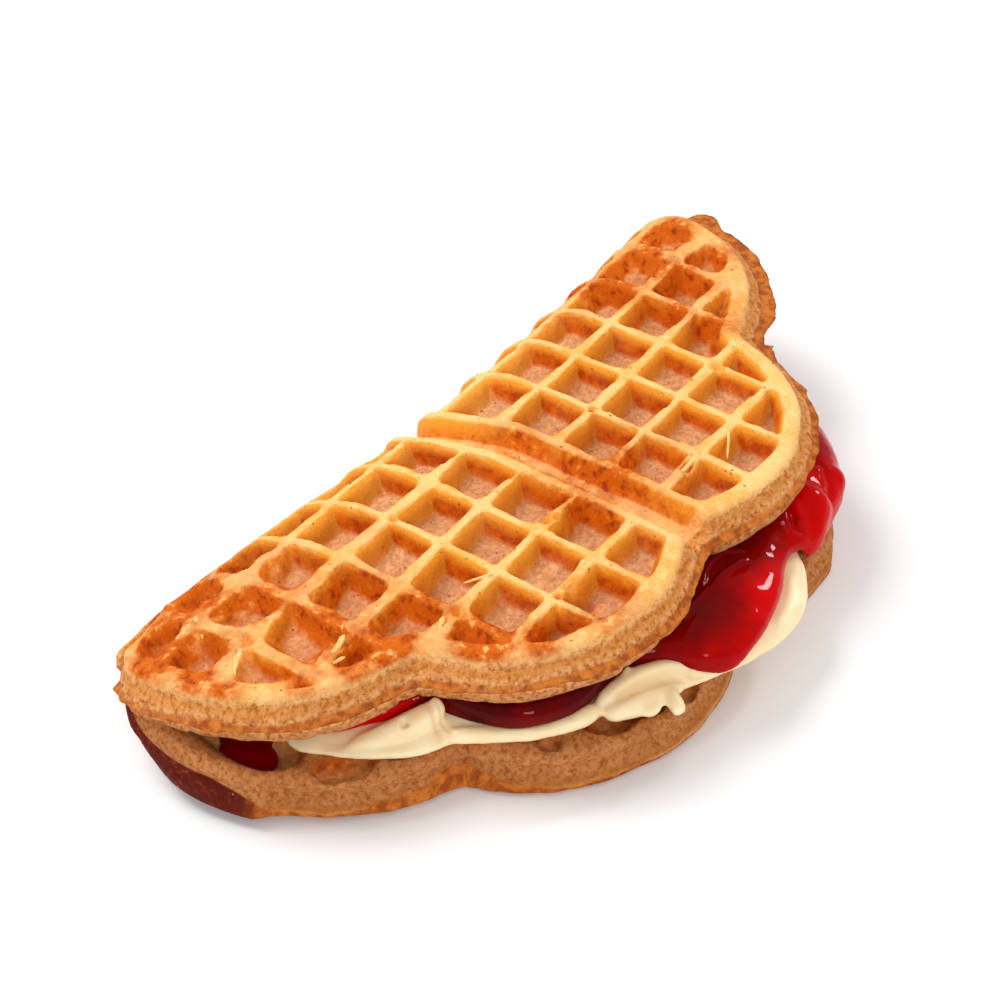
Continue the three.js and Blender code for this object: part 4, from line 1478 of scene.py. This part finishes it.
@dataclass
class Filling:
    """What the cream and the jam share. Sizes are in cells."""

    fold: Fold
    press: float = 0.02             # how far it is pressed into what it touches
    cream_height: float = 0.34
    cream_share: float = 0.55       # of the gap, where the gap is narrow

    def floor(self, x: Array) -> Array:
        """Height of the lower half's inner ridges."""
        return self.fold.levels(x)[0] + self.fold.iron.thickness - self.press

    def roof(self, x: Array) -> Array:
        """Height of the upper half's inner ridges."""
        return self.fold.levels(x)[1] - self.fold.iron.thickness + self.press

    def cream_top(self, x: Array) -> Array:
        """Height of the layer of cream."""
        low = self.floor(x)
        return low + np.minimum(self.cream_height, self.cream_share * (self.roof(x) - low))

    def to_cells(self, mesh: bpy.types.Mesh) -> tuple[Array, Array]:
        """Reads a mesh.

        Args:
            mesh: the mesh, in metres.

        Returns:
            Its vertices in cells with the sheet's origin, and their normals.
        """
        count = len(mesh.vertices)
        points, normals = np.empty(count * 3), np.empty(count * 3)
        mesh.vertices.foreach_get("co", points)
        mesh.vertex_normals.foreach_get("vector", normals)
        return (points.reshape(-1, 3) - self.fold.shift()) / CELL, normals.reshape(-1, 3)

    def settle(self, mesh: bpy.types.Mesh, cells: Array, marks: Marks) -> bpy.types.Object:
        """Puts moved points back into a mesh and makes its object.

        Args:
            mesh: the mesh.
            cells: new positions in cells.
            marks: named numbers on the vertices.

        Returns:
            The object.
        """
        mesh.vertices.foreach_set("co", self.fold.in_frame(cells).ravel())
        return finish_mesh(mesh, marks)

    @staticmethod
    def dress(piece: bpy.types.Object, material: bpy.types.Material, node: str) -> None:
        """Gives a filling its finish and its place in the frame.

        Args:
            piece: the filling.
            material: its finish.
            node: the CAD node that it stands for.
        """
        piece.data.materials.clear()
        piece.data.materials.append(material)
        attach(piece, BODY)
        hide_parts(node)


def lumps(points: Array, scale: float, layers: int) -> Array:
    """Smooth noise in space, for points in cells; `scale` bumps to a cell."""
    return np.array([noise.fractal(Vector(p) * scale, 0.6, 2.0, layers) for p in points.tolist()])


CREAM_EDGE = (
    (-5.5, -2.95), (-5.85, -3.17), (-5.9, -3.55), (-5.78, -3.7), (-5.5, -4.22), (-5.28, -4.5),
    (-5.0, -4.82), (-4.72, -5.02), (-4.3, -5.2), (-3.9, -5.75), (-3.5, -6.2), (-2.9, -6.5),
    (-2.3, -6.75), (-1.75, -7.15), (-1.2, -7.42), (-0.7, -7.68), (0.0, -7.83), (0.6, -7.85),
    (1.1, -7.66), (1.6, -7.3), (1.85, -6.95), (2.8, -6.5), (3.6, -5.9), (4.4, -5.0), (5.0, -3.9),
    (5.4, -2.9),
)
JAM_EDGE = (
    (-5.3, -3.0), (-5.6, -3.4), (-5.45, -3.75), (-4.98, -4.1), (-4.78, -4.35), (-4.55, -4.35),
    (-4.25, -4.5), (-4.15, -5.07), (-4.06, -5.5), (-3.8, -5.98), (-3.12, -6.38), (-2.7, -6.4),
    (-2.1, -6.45), (-1.6, -6.9), (-1.5, -7.3), (-1.26, -7.6), (-0.9, -7.72), (-0.4, -7.72),
    (0.24, -7.59), (0.7, -7.4), (1.3, -7.15), (1.65, -7.15), (1.8, -7.34), (2.1, -7.32),
    (2.8, -7.17), (3.3, -7.05), (3.8, -6.65), (4.23, -6.2), (4.6, -5.6), (5.0, -4.6), (5.4, -3.7),
    (5.6, -2.9),
)


@dataclass
class Cream(Filling):
    """Thick whipped cream that has squeezed out in soft folds."""

    ropes: tuple[Row, ...] = (
        # the ribbon between the two heaps
        ((-4.5, -5.0, 1.0, 0.14), (-4.1, -5.45, 0.97, 0.12), (-3.75, -5.95, 0.97, 0.11),
         (-3.3, -6.3, 1.0, 0.13), (-2.8, -6.5, 1.04, 0.16)),
        # the upper and the lower fold of the right heap
        ((-2.8, -6.45, 1.08, 0.14), (-2.2, -6.6, 1.16, 0.17), (-1.75, -6.85, 1.15, 0.16),
         (-1.5, -7.12, 1.1, 0.13), (-1.35, -7.42, 1.05, 0.09)),
        ((-2.85, -6.6, 0.98, 0.15), (-2.35, -6.85, 0.96, 0.2), (-1.95, -7.02, 0.97, 0.15),
         (-1.65, -7.2, 0.96, 0.08)),
        # a drop and a spike
        ((-1.95, -7.1, 1.02, 0.1), (-2.03, -7.28, 0.94, 0.13), (-2.1, -7.42, 0.88, 0.1)),
        ((-2.5, -6.6, 1.08, 0.12), (-2.3, -6.55, 1.22, 0.08), (-2.1, -6.5, 1.34, 0.03)),
        # the crest of the left heap
        ((-5.5, -3.95, 0.96, 0.1), (-4.95, -4.4, 1.04, 0.2), (-4.45, -4.7, 1.14, 0.22),
         (-4.3, -4.75, 1.3, 0.16), (-4.3, -4.7, 1.42, 0.08)),
    )
    voxel: float = 0.00045
    nose: tuple[float, float] = (0.85, 0.5)        # at the left, and how much less at the right
    nose_span: Span = (-1.6, 1.6)
    open_above: Span = (0.84, 0.08)                # height above which the creases show
    balls: Row = (
        # x, y, z and the radii of rounded lumps
        (-2.28, -7.0, 0.95, 0.22, 0.18, 0.12),
        (0.4, -7.6, 0.98, 0.7, 0.22, 0.14),
    )
    creases: Creases = (
        (((-4.4, -4.6), (-4.5, -4.9), (-4.62, -5.12)), -0.035, 0.05),
        (((-4.3, -4.68), (-4.4, -4.95), (-4.5, -5.15)), -0.025, 0.04),
        (((-4.78, -4.5), (-4.85, -4.62)), -0.09, 0.05),
        (((-5.7, -3.6), (-5.2, -4.3), (-4.8, -4.85)), -0.03, 0.12),
        (((-2.7, -6.62), (-2.2, -6.8), (-1.8, -7.0), (-1.5, -7.25)), -0.06, 0.06),
        (((0.0, -7.75), (0.6, -7.68), (1.2, -7.3)), 0.03, 0.1),
    )

    def build(self) -> bpy.types.Object:
        """Builds the cream.

        Returns:
            The object, without its finish.
        """
        layer = Layer(CREAM_EDGE)
        front = layer.front()
        nose = self.nose[0] - self.nose[1] * ramp(front[:, 0], self.nose_span)
        clay = Clay(self.fold, self.voxel)
        clay.add_loft(layer.rings(front, lambda x, y: self.floor(x),
                                  lambda x, y: self.cream_top(x), nose))
        clay.add_all(self.ropes, self.balls)
        mesh = clay.skin("whipped_cream")
        cells, normals = self.to_cells(mesh)
        open_top = ramp(cells[:, 2], self.open_above)
        height = 0.02 * lumps(cells, 1.6, 2) + 0.005 * lumps(cells + 9, 6.0, 2)
        height += relief(cells[:, :2], self.creases) * open_top
        cells = cells + normals * height[:, None]
        return self.settle(mesh, cells, {"height": height})


@dataclass
class Jam(Filling):
    """Red jam with a wet skin, bright where it is thin, dark where it is thick, and darkened with
    painted shade in places under the waffle's rim.
    """

    ropes: tuple[Row, ...] = (
        ((2.3, -6.5, 1.4, 0.3), (2.5, -6.85, 1.28, 0.38), (2.1, -7.05, 1.15, 0.3),
         (1.8, -7.2, 1.08, 0.12)),
        ((3.0, -6.5, 1.35, 0.3), (3.3, -6.75, 1.22, 0.28), (2.9, -6.95, 1.1, 0.2)),
    )
    voxel: float = 0.00042
    nose: tuple[float, float] = (0.4, 0.8)         # at the left, and how much more at the right
    nose_span: Span = (-2.2, 1.6)
    bare_front: Span = (5.4, 0.6)                  # it is uneven where it shows, towards -Y
    bare_left: Span = (3.6, 0.6)                   # and towards -X
    off_cream: float = 0.3                         # over which it comes down off the cream
    balls: Row = (
        (-6.14, -2.74, 0.6, 0.36, 0.48, 0.1), (-5.8, -2.4, 0.62, 0.4, 0.5, 0.08),
        (0.2, -7.1, 1.2, 0.9, 0.35, 0.16),
    )
    creases: Creases = (
        (((-0.55, -6.75), (-0.3, -6.6), (0.0, -6.46), (0.36, -6.42), (0.57, -6.5),
          (0.78, -6.8)), 0.07, 0.035),
        (((-1.2, -6.78), (-0.73, -6.7), (-0.29, -6.74), (0.14, -6.72), (0.47, -6.78),
          (0.7, -6.84)), 0.07, 0.035),
        (((0.8, -6.33), (1.1, -6.5), (1.42, -6.76)), 0.025, 0.03),
        (((0.6, -6.3), (0.95, -6.52), (1.25, -6.74)), 0.025, 0.03),
        (((2.2, -6.4), (2.05, -6.6), (1.92, -6.85), (1.72, -7.02), (1.78, -7.2)), -0.07, 0.06),
        (((1.5, -6.6), (1.6, -6.8), (1.5, -7.0)), 0.03, 0.05),
        (((3.0, -6.3), (3.2, -6.6), (3.0, -6.9), (2.6, -7.1)), -0.04, 0.06),
    )
    thick: tuple[Spot, ...] = (
        # the dark places: thick jam, and painted shade where the jam lies under the waffle's rim
        (-2.6, -6.1, 1.4, 0.75), (1.2, -6.5, 0.7, 0.2), (-3.9, -5.0, 0.8, 0.7),
    )
    thin: tuple[Spot, ...] = (
        # and the bright ones
        (2.5, -6.8, 0.5, 1.0), (0.4, -7.4, 0.6, 0.25), (-4.7, -4.3, 0.5, 0.4),
    )

    def on_cream(self, x: Array, y: Array) -> Array:
        """Where the jam lies on the cream.

        Args:
            x, y: positions in cells.

        Returns:
            1 on the cream, 0 on the waffle.
        """
        corners = np.array(CREAM_EDGE)
        corners = corners[np.argsort(corners[:, 0])]
        front = np.interp(x, corners[:, 0], corners[:, 1])
        left = smooth((x - corners[0, 0]) / self.off_cream + 0.5)
        return left * smooth((y - front) / self.off_cream + 1.0)

    def build(self) -> bpy.types.Object:
        """Builds the jam.

        Returns:
            The object, without its finish.
        """
        layer = Layer(JAM_EDGE)
        front = layer.front()
        nose = self.nose[0] + self.nose[1] * ramp(front[:, 0], self.nose_span)
        clay = Clay(self.fold, self.voxel)

        def floor(x: Array, y: Array) -> Array:
            """Height of what the jam lies on."""
            low = self.floor(x)
            return low + (self.cream_top(x) - 3 * self.press - low) * self.on_cream(x, y)

        clay.add_loft(layer.rings(front, floor, lambda x, y: self.roof(x), nose))
        clay.add_all(self.ropes, self.balls)
        mesh = clay.skin("red_jam")
        cells, normals = self.to_cells(mesh)
        bare = ramp(-cells[:, 1], self.bare_front) + ramp(-cells[:, 0], self.bare_left)
        height = 0.022 * lumps(cells + 4, 1.3, 2) + 0.003 * lumps(cells + 7, 4.0, 2)
        wrinkles = relief(cells[:, :2], self.creases) * smooth(normals[:, 2] * 3)
        cells = cells + normals * ((height + wrinkles) * np.minimum(bare, 1))[:, None]
        return self.settle(mesh, cells, {"thin": self.thinness_and_painted_shade(cells, height, front)})

    def thinness_and_painted_shade(self, cells: Array, height: Array, front: Array) -> Array:
        """How much light comes through the jam, less where painted shade is laid on under the
        waffle's rim and more where its skin stands out.

        Args:
            cells: positions of its vertices.
            height: how far its skin stands out there.
            front: its front edge.

        Returns:
            From 0 to 1 for each vertex.
        """
        x, y = cells[:, 0], cells[:, 1]
        gap, _ = distance_to_run(x, y, front[::3])
        thin = 0.8 - 0.42 * smooth(gap / 0.7) + 2.5 * height
        for place in self.thin:
            thin = thin + spot(x, y, place)
        for place in self.thick:
            thin = thin - spot(x, y, place)
        return np.clip(thin, 0, 1)


class Look(Enum):
    """Names of the finishes."""

    CRUST = "waffle_crust"
    FLECK = "dark_bran"
    CREAM = "thick_cream"
    JAM = "red_jam"


# ------------------------------------------------------------------ shader words

class Wire:
    """A node socket that takes part in expressions."""

    def __init__(self, shader: "Shader", socket: bpy.types.NodeSocket) -> None:
        """Keeps the socket and the shader that it belongs to."""
        self.shader, self.socket = shader, socket

    def _math(self, operation: str, first: "Wire | float", second: "Wire | float") -> "Wire":
        """One Math node on two values."""
        return self.shader.node("ShaderNodeMath", {"operation": operation}, {0: first, 1: second})

    def __add__(self, other: "Wire | float") -> "Wire":
        """Sum."""
        return self._math("ADD", self, other)

    __radd__ = __add__

    def __sub__(self, other: "Wire | float") -> "Wire":
        """Difference."""
        return self._math("SUBTRACT", self, other)

    def __rsub__(self, other: "Wire | float") -> "Wire":
        """Difference from a number."""
        return self._math("SUBTRACT", other, self)

    def __mul__(self, other: "Wire | float") -> "Wire":
        """Product."""
        return self._math("MULTIPLY", self, other)

    __rmul__ = __mul__

    def clipped(self) -> "Wire":
        """The value held between 0 and 1."""
        return self.shader.node("ShaderNodeClamp", {}, {0: self})

    def step(self, low: float, high: float) -> "Wire":
        """Smooth step from 0 at `low` to 1 at `high`."""
        return self.shader.node("ShaderNodeMapRange", {"interpolation_type": "SMOOTHSTEP"},
                                {0: self, 1: low, 2: high, 3: 0.0, 4: 1.0})


class Shader:
    """One material's node tree, written as expressions."""

    def __init__(self, name: str) -> None:
        """Starts an empty tree.

        Args:
            name: the material's name.
        """
        self.material = bpy.data.materials.new(name)
        self.material.use_nodes = True
        self.tree = self.material.node_tree
        self.tree.nodes.clear()

    def node(self, kind: str, settings: dict, values: dict, out: int | str = 0) -> Wire:
        """Adds a node.

        Args:
            kind: the node's type.
            settings: its properties, set first.
            values: a number, a colour or a wire for each of its sockets.
            out: the output to hand back.

        Returns:
            The output's wire.
        """
        node = self.tree.nodes.new(kind)
        for key, value in settings.items():
            setattr(node, key, value)
        for key, value in values.items():
            if isinstance(value, Wire):
                self.tree.links.new(value.socket, node.inputs[key])
            else:
                node.inputs[key].default_value = value
        return Wire(self, node.outputs[out])

    def mark(self, name: str) -> Wire:
        """A named number on the vertices."""
        return self.node("ShaderNodeAttribute", {"attribute_name": name}, {}, "Fac")

    def place(self) -> Wire:
        """Object coordinates."""
        return self.node("ShaderNodeTexCoord", {}, {}, "Object")

    def noise(self, scale: float, detail: float = 3.0, rough: float = 0.55) -> Wire:
        """Noise between 0 and 1 with bumps of about 1/scale metres."""
        return self.node("ShaderNodeTexNoise", {}, {
            "Vector": self.place(), "Scale": scale, "Detail": detail, "Roughness": rough}, "Fac")

    def mix(self, share: Wire | float, first: Wire | Colour, second: Wire | Colour,
            blend: str = "MIX") -> Wire:
        """Mixes two colours."""
        return self.node("ShaderNodeMix", {"data_type": "RGBA", "blend_type": blend},
                         {0: share, 6: first, 7: second}, 2)

    def bump(self, height: Wire, strength: float, distance: float) -> Wire:
        """Normals of a fine relief, `distance` in metres."""
        return self.node("ShaderNodeBump", {}, {
            "Strength": strength, "Distance": distance, "Height": height})

    def finish(self, **values: object) -> bpy.types.Material:
        """Ends the tree in one Principled shader.

        Args:
            values: numbers, colours or wires by socket name, with _ for a space.

        Returns:
            The finished material.
        """
        names = {key.replace("_", " "): value for key, value in values.items()}
        shader = self.node("ShaderNodeBsdfPrincipled", {}, names)
        output = self.tree.nodes.new("ShaderNodeOutputMaterial")
        self.tree.links.new(shader.socket, output.inputs["Surface"])
        return self.material


@dataclass(frozen=True)
class CrustFinish:
    """Baked batter: pale gold ridges, orange-brown walls and pinkish floors."""

    crest: Colour = linear(252, 204, 132)
    crest_gold: Colour = linear(246, 180, 90)
    floor: Colour = linear(232, 176, 126)
    floor_dull: Colour = linear(206, 146, 98)
    wall_top: Colour = linear(244, 162, 48)
    wall: Colour = linear(212, 106, 0)
    wall_dark: Colour = linear(186, 72, 0)
    # painted shade: a shaded copy of the wall colour, for walls that face along Y
    shade: Colour = linear(212, 136, 42)
    brown: Colour = linear(210, 100, 0)
    brown_dark: Colour = linear(164, 58, 0)
    side: Colour = linear(240, 178, 120)
    side_dull: Colour = linear(200, 124, 62)
    side_pit: Colour = linear(134, 66, 20)
    side_low: Colour = linear(160, 88, 32)
    # painted shade for the band where the rim wall curves in below its crest
    painted_crease_shade: Colour = linear(196, 118, 26)
    seam: Colour = linear(206, 120, 44)
    seam_dark: Colour = linear(158, 76, 24)
    # the dark stretch at the left end of the lower rim: well-browned crust with painted shade in it
    burnt_and_shaded: Colour = linear(92, 16, 4)
    burnt_and_shaded_warm: Colour = linear(136, 52, 14)
    grain: Colour = linear(226, 200, 172)
    fleck: Colour = linear(140, 84, 40)

    def material(self) -> bpy.types.Material:
        """Builds the material.

        Returns:
            The material.
        """
        s = Shader(Look.CRUST.value)
        well, wall, face, brown, side, seam, burnt_and_shaded, level, low = (s.mark(name) for name in MARKS)
        broad, middle, small = s.noise(110.0), s.noise(520.0), s.noise(1000.0, 4.0, 0.6)
        fine, dust = s.noise(2300.0, 3.0, 0.6), s.noise(5200.0, 2.0)
        crest = s.mix(broad.step(0.42, 0.68) * middle.step(0.25, 0.6), self.crest, self.crest_gold)
        floor = s.mix(small.step(0.38, 0.62), self.floor, self.floor_dull)
        colour = s.mix(well.step(0.5, 1.0), crest, floor)
        wall_colour = s.mix(middle.step(0.35, 0.65), self.wall, self.wall_dark)
        # painted shade: walls that face along Y take the shade colour, walls that face along X keep
        # the wall colour
        wall_colour = s.mix(face.step(0.2, 0.8), self.shade, wall_colour)
        wall_colour = s.mix(well.step(0.1, 0.6), self.wall_top, wall_colour)
        colour = s.mix((wall * (0.75 + 0.5 * broad)).clipped(), colour, wall_colour)
        brown_colour = s.mix(middle.step(0.48, 0.7), self.brown, self.brown_dark)
        baked = 2.7 * brown * (0.4 + 0.6 * wall + 0.35 * small) * middle.step(0.2, 0.5)
        baked = (baked * (1 - 0.75 * well.step(0.6, 1.0) * (1 - wall))).clipped()
        colour = s.mix(baked, colour, brown_colour)
        side_colour = s.mix(small.step(0.36, 0.64), self.side, self.side_dull)
        pits = 0.9 * (small.step(0.5, 0.66) * fine.step(0.4, 0.6))
        side_colour = s.mix(pits, side_colour, self.side_pit)
        # painted shade: the band of the rim wall just below its crest, where it curves in, is
        # darkened
        hollow = level.step(0.1, 0.2) * (1 - level.step(0.2, 0.32))
        side_colour = s.mix(0.6 * hollow, side_colour, self.painted_crease_shade)
        side_colour = s.mix(low * (0.4 + 0.5 * broad), side_colour, self.side_low)
        colour = s.mix(side, colour, side_colour)
        seam_colour = s.mix(middle.step(0.35, 0.65), self.seam, self.seam_dark)
        # the dark stretch at the left end of the lower rim: well-browned crust with painted shade
        # in it
        scorched_and_shaded = s.mix(small.step(0.45, 0.7) * middle.step(0.35, 0.6), self.burnt_and_shaded,
                         self.burnt_and_shaded_warm)
        seam_colour = s.mix(burnt_and_shaded.step(0.1, 0.6), seam_colour, scorched_and_shaded)
        colour = s.mix(seam.step(0.0, 0.6), colour, seam_colour)
        colour = s.mix(0.6 * fine.step(0.4, 0.75), colour, self.grain, "MULTIPLY")
        flecks = dust.step(0.63, 0.7) * small.step(0.45, 0.6)
        colour = s.mix(0.5 * flecks, colour, self.fleck)
        bumps = 0.3 * fine + 0.12 * dust + (0.7 + 0.5 * side) * small + 0.6 * middle
        normal = s.bump(bumps, 0.5, 0.0005)
        rough = 0.6 + 0.2 * middle
        return s.finish(Base_Color=colour, Roughness=rough, Normal=normal, Specular_IOR_Level=0.12)


@dataclass(frozen=True)
class FleckFinish:
    """Bran, from tan to brown."""

    light: Colour = linear(200, 128, 60)
    dark: Colour = linear(158, 94, 40)

    def material(self) -> bpy.types.Material:
        """Builds the material.

        Returns:
            The material.
        """
        s = Shader(Look.FLECK.value)
        colour = s.mix(s.noise(600.0).step(0.4, 0.6), self.dark, self.light)
        return s.finish(Base_Color=colour, Roughness=0.8, Specular_IOR_Level=0.1)


@dataclass(frozen=True)
class CreamFinish:
    """Soft, slightly see-through cream with a satin skin."""

    # pale goes to raised lumps, and warm goes to sunken places as painted shade; both also vary at
    # random
    pale: Colour = linear(255, 236, 196)
    warm_and_shaded: Colour = linear(250, 218, 168)

    def material(self) -> bpy.types.Material:
        """Builds the material.

        Returns:
            The material.
        """
        s = Shader(Look.CREAM.value)
        broad, fine = s.noise(160.0), s.noise(1400.0, 2.0)
        # painted shade: sunken places, the creases most, lean to the warmer, darker colour and
        # raised lumps to the paler one; within that the colour varies at random
        low = s.mark("height").step(-0.05, 0.04)
        colour = s.mix((0.35 + 0.65 * low) * broad.step(0.2, 0.8), self.warm_and_shaded, self.pale)
        normal = s.bump(fine, 0.12, 0.0003)
        return s.finish(Base_Color=colour, Roughness=0.38, Normal=normal, Subsurface_Weight=0.35,
                        Subsurface_Radius=(0.003, 0.002, 0.0012), Subsurface_Scale=1.0,
                        Specular_IOR_Level=0.4)


@dataclass(frozen=True)
class JamFinish:
    """Wet jam, its colour set by how thick it is and darkened by painted shade under the waffle's
    rim.
    """

    # dark: thick jam, and the painted shade under the waffle's rim
    dark: Colour = linear(70, 0, 2)
    deep: Colour = linear(128, 0, 0)
    bright: Colour = linear(198, 0, 0)

    def material(self) -> bpy.types.Material:
        """Builds the material.

        Returns:
            The material.
        """
        s = Shader(Look.JAM.value)
        # the thin mark holds painted shade under the rim as well as how thin the jam is
        thin, cloud = s.mark("thin"), s.noise(260.0, 2.0)
        thin = (thin + 0.3 * (cloud - 0.5)).clipped()
        colour = s.mix(thin.step(0.0, 0.5), self.dark, self.deep)
        colour = s.mix(thin.step(0.4, 1.0), colour, self.bright)
        normal = s.bump(s.noise(300.0, 1.0), 0.08, 0.0005)
        return s.finish(Base_Color=colour, Roughness=0.05, Normal=normal, Specular_IOR_Level=0.08,
                        Subsurface_Weight=0.15, Subsurface_Radius=(0.004, 0.0004, 0.0003),
                        Subsurface_Scale=1.0)


# ------------------------------------------------------------------ studio

@dataclass(frozen=True)
class Studio:
    """Pale floor, soft light and the camera."""

    origin: tuple[float, float]     # the folded sheet's
    camera_at: tuple[float, float, float] = (-0.24353, -0.21887, 0.27306)      # from there
    camera_right: tuple[float, float, float] = (0.5946, -0.8038, -0.0163)
    camera_back: tuple[float, float, float] = (-0.6070, -0.4621, 0.6466)
    lens: float = 72.0
    sensor: float = 36.0
    floor_size: float = 6.0
    floor_colour: Colour = linear(246, 246, 246)
    sky: float = 0.58
    aim: tuple[float, float, float] = (0.0, 0.0, 0.02)
    lamps: tuple[tuple[str, tuple[float, float, float], float, float, bool], ...] = (
        # name, place, size in metres, watts, and whether it lights dull surfaces too
        ("key", (-0.10, 0.55, 0.75), 0.45, 6.0, True),
        ("side", (0.75, -0.15, 0.55), 0.12, 1.8, True),
        ("front", (-0.5, -0.75, 0.5), 0.25, 3.0, True),
        ("glint", (-0.25, 0.35, 0.6), 0.05, 2.4, False),
    )

    def build(self) -> None:
        """Adds the floor, the lights and the camera."""
        self.add_floor()
        self.add_camera()
        self.add_lights()

    def add_floor(self) -> None:
        """A plain pale ground that the waffle lies on."""
        half = self.floor_size / 2
        corners = np.array([[-half, -half, 0], [half, -half, 0], [half, half, 0], [-half, half, 0]])
        floor = make_piece("floor", corners, [(0, 1, 2, 3)], {})
        s = Shader("pale_floor")
        floor.data.materials.append(s.finish(Base_Color=self.floor_colour, Roughness=0.9))

    def add_camera(self) -> None:
        """The camera, turned by its right and back directions."""
        data = bpy.data.cameras.new("camera")
        data.lens, data.sensor_width = self.lens, self.sensor
        data.clip_start, data.clip_end = 0.01, 20.0
        camera = bpy.data.objects.new("camera", data)
        back = Vector(self.camera_back).normalized()
        right = Vector(self.camera_right)
        right = (right - back * right.dot(back)).normalized()
        turn = Matrix((right, back.cross(right), back)).transposed().to_4x4()
        at = Vector(self.camera_at) + Vector((*self.origin, 0.0))
        camera.matrix_world = Matrix.Translation(at) @ turn
        bpy.context.scene.collection.objects.link(camera)
        bpy.context.scene.camera = camera

    def add_lights(self) -> None:
        """Square soft lamps that face the waffle, and an even sky."""
        world = bpy.data.worlds.new("sky")
        world.use_nodes = True
        background = world.node_tree.nodes["Background"]
        background.inputs["Color"].default_value = (1.0, 1.0, 1.0, 1.0)
        background.inputs["Strength"].default_value = self.sky
        scene = bpy.context.scene
        scene.world = world
        scene.view_settings.view_transform = "Standard"
        for name, at, size, watts, dull in self.lamps:
            data = bpy.data.lights.new(name, "AREA")
            data.shape, data.size, data.energy = "SQUARE", size, watts
            lamp = bpy.data.objects.new(name, data)
            lamp.location = at
            facing = Vector(self.aim) - Vector(at)
            lamp.rotation_euler = facing.to_track_quat("-Z", "Y").to_euler()
            lamp.visible_diffuse = dull
            scene.collection.objects.link(lamp)


def corners(box: tuple[Vector, Vector]) -> list[list[float]]:
    """A box as plain lists."""
    return [list(corner) for corner in box]


def report(piece: bpy.types.Object) -> None:
    """Logs a piece's name and its number of triangles."""
    count = sum(len(polygon.vertices) - 2 for polygon in piece.data.polygons)
    LOG.info("%s: %d triangles", piece.name, count)


def main() -> None:
    """Builds every piece in order."""
    logging.basicConfig(level=logging.INFO, format="%(name)s: %(message)s")
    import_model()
    iron = Iron()
    fold = Fold(iron)
    fold.anchor(*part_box("cream"))
    LOG.info("origin of the sheet: %s", fold.origin)
    waffle = Waffle(iron, fold)
    piece = waffle.build()
    waffle.dress(piece, CrustFinish().material())
    report(piece)
    report(Flecks().build(piece, FleckFinish().material()))
    cream = Cream(fold)
    piece = cream.build()
    cream.dress(piece, CreamFinish().material(), "cream")
    report(piece)
    jam = Jam(fold)
    piece = jam.build()
    jam.dress(piece, JamFinish().material(), "jam")
    report(piece)
    Studio(fold.origin).build()
    bpy.context.view_layer.update()


if __name__ == "__main__":
    main()
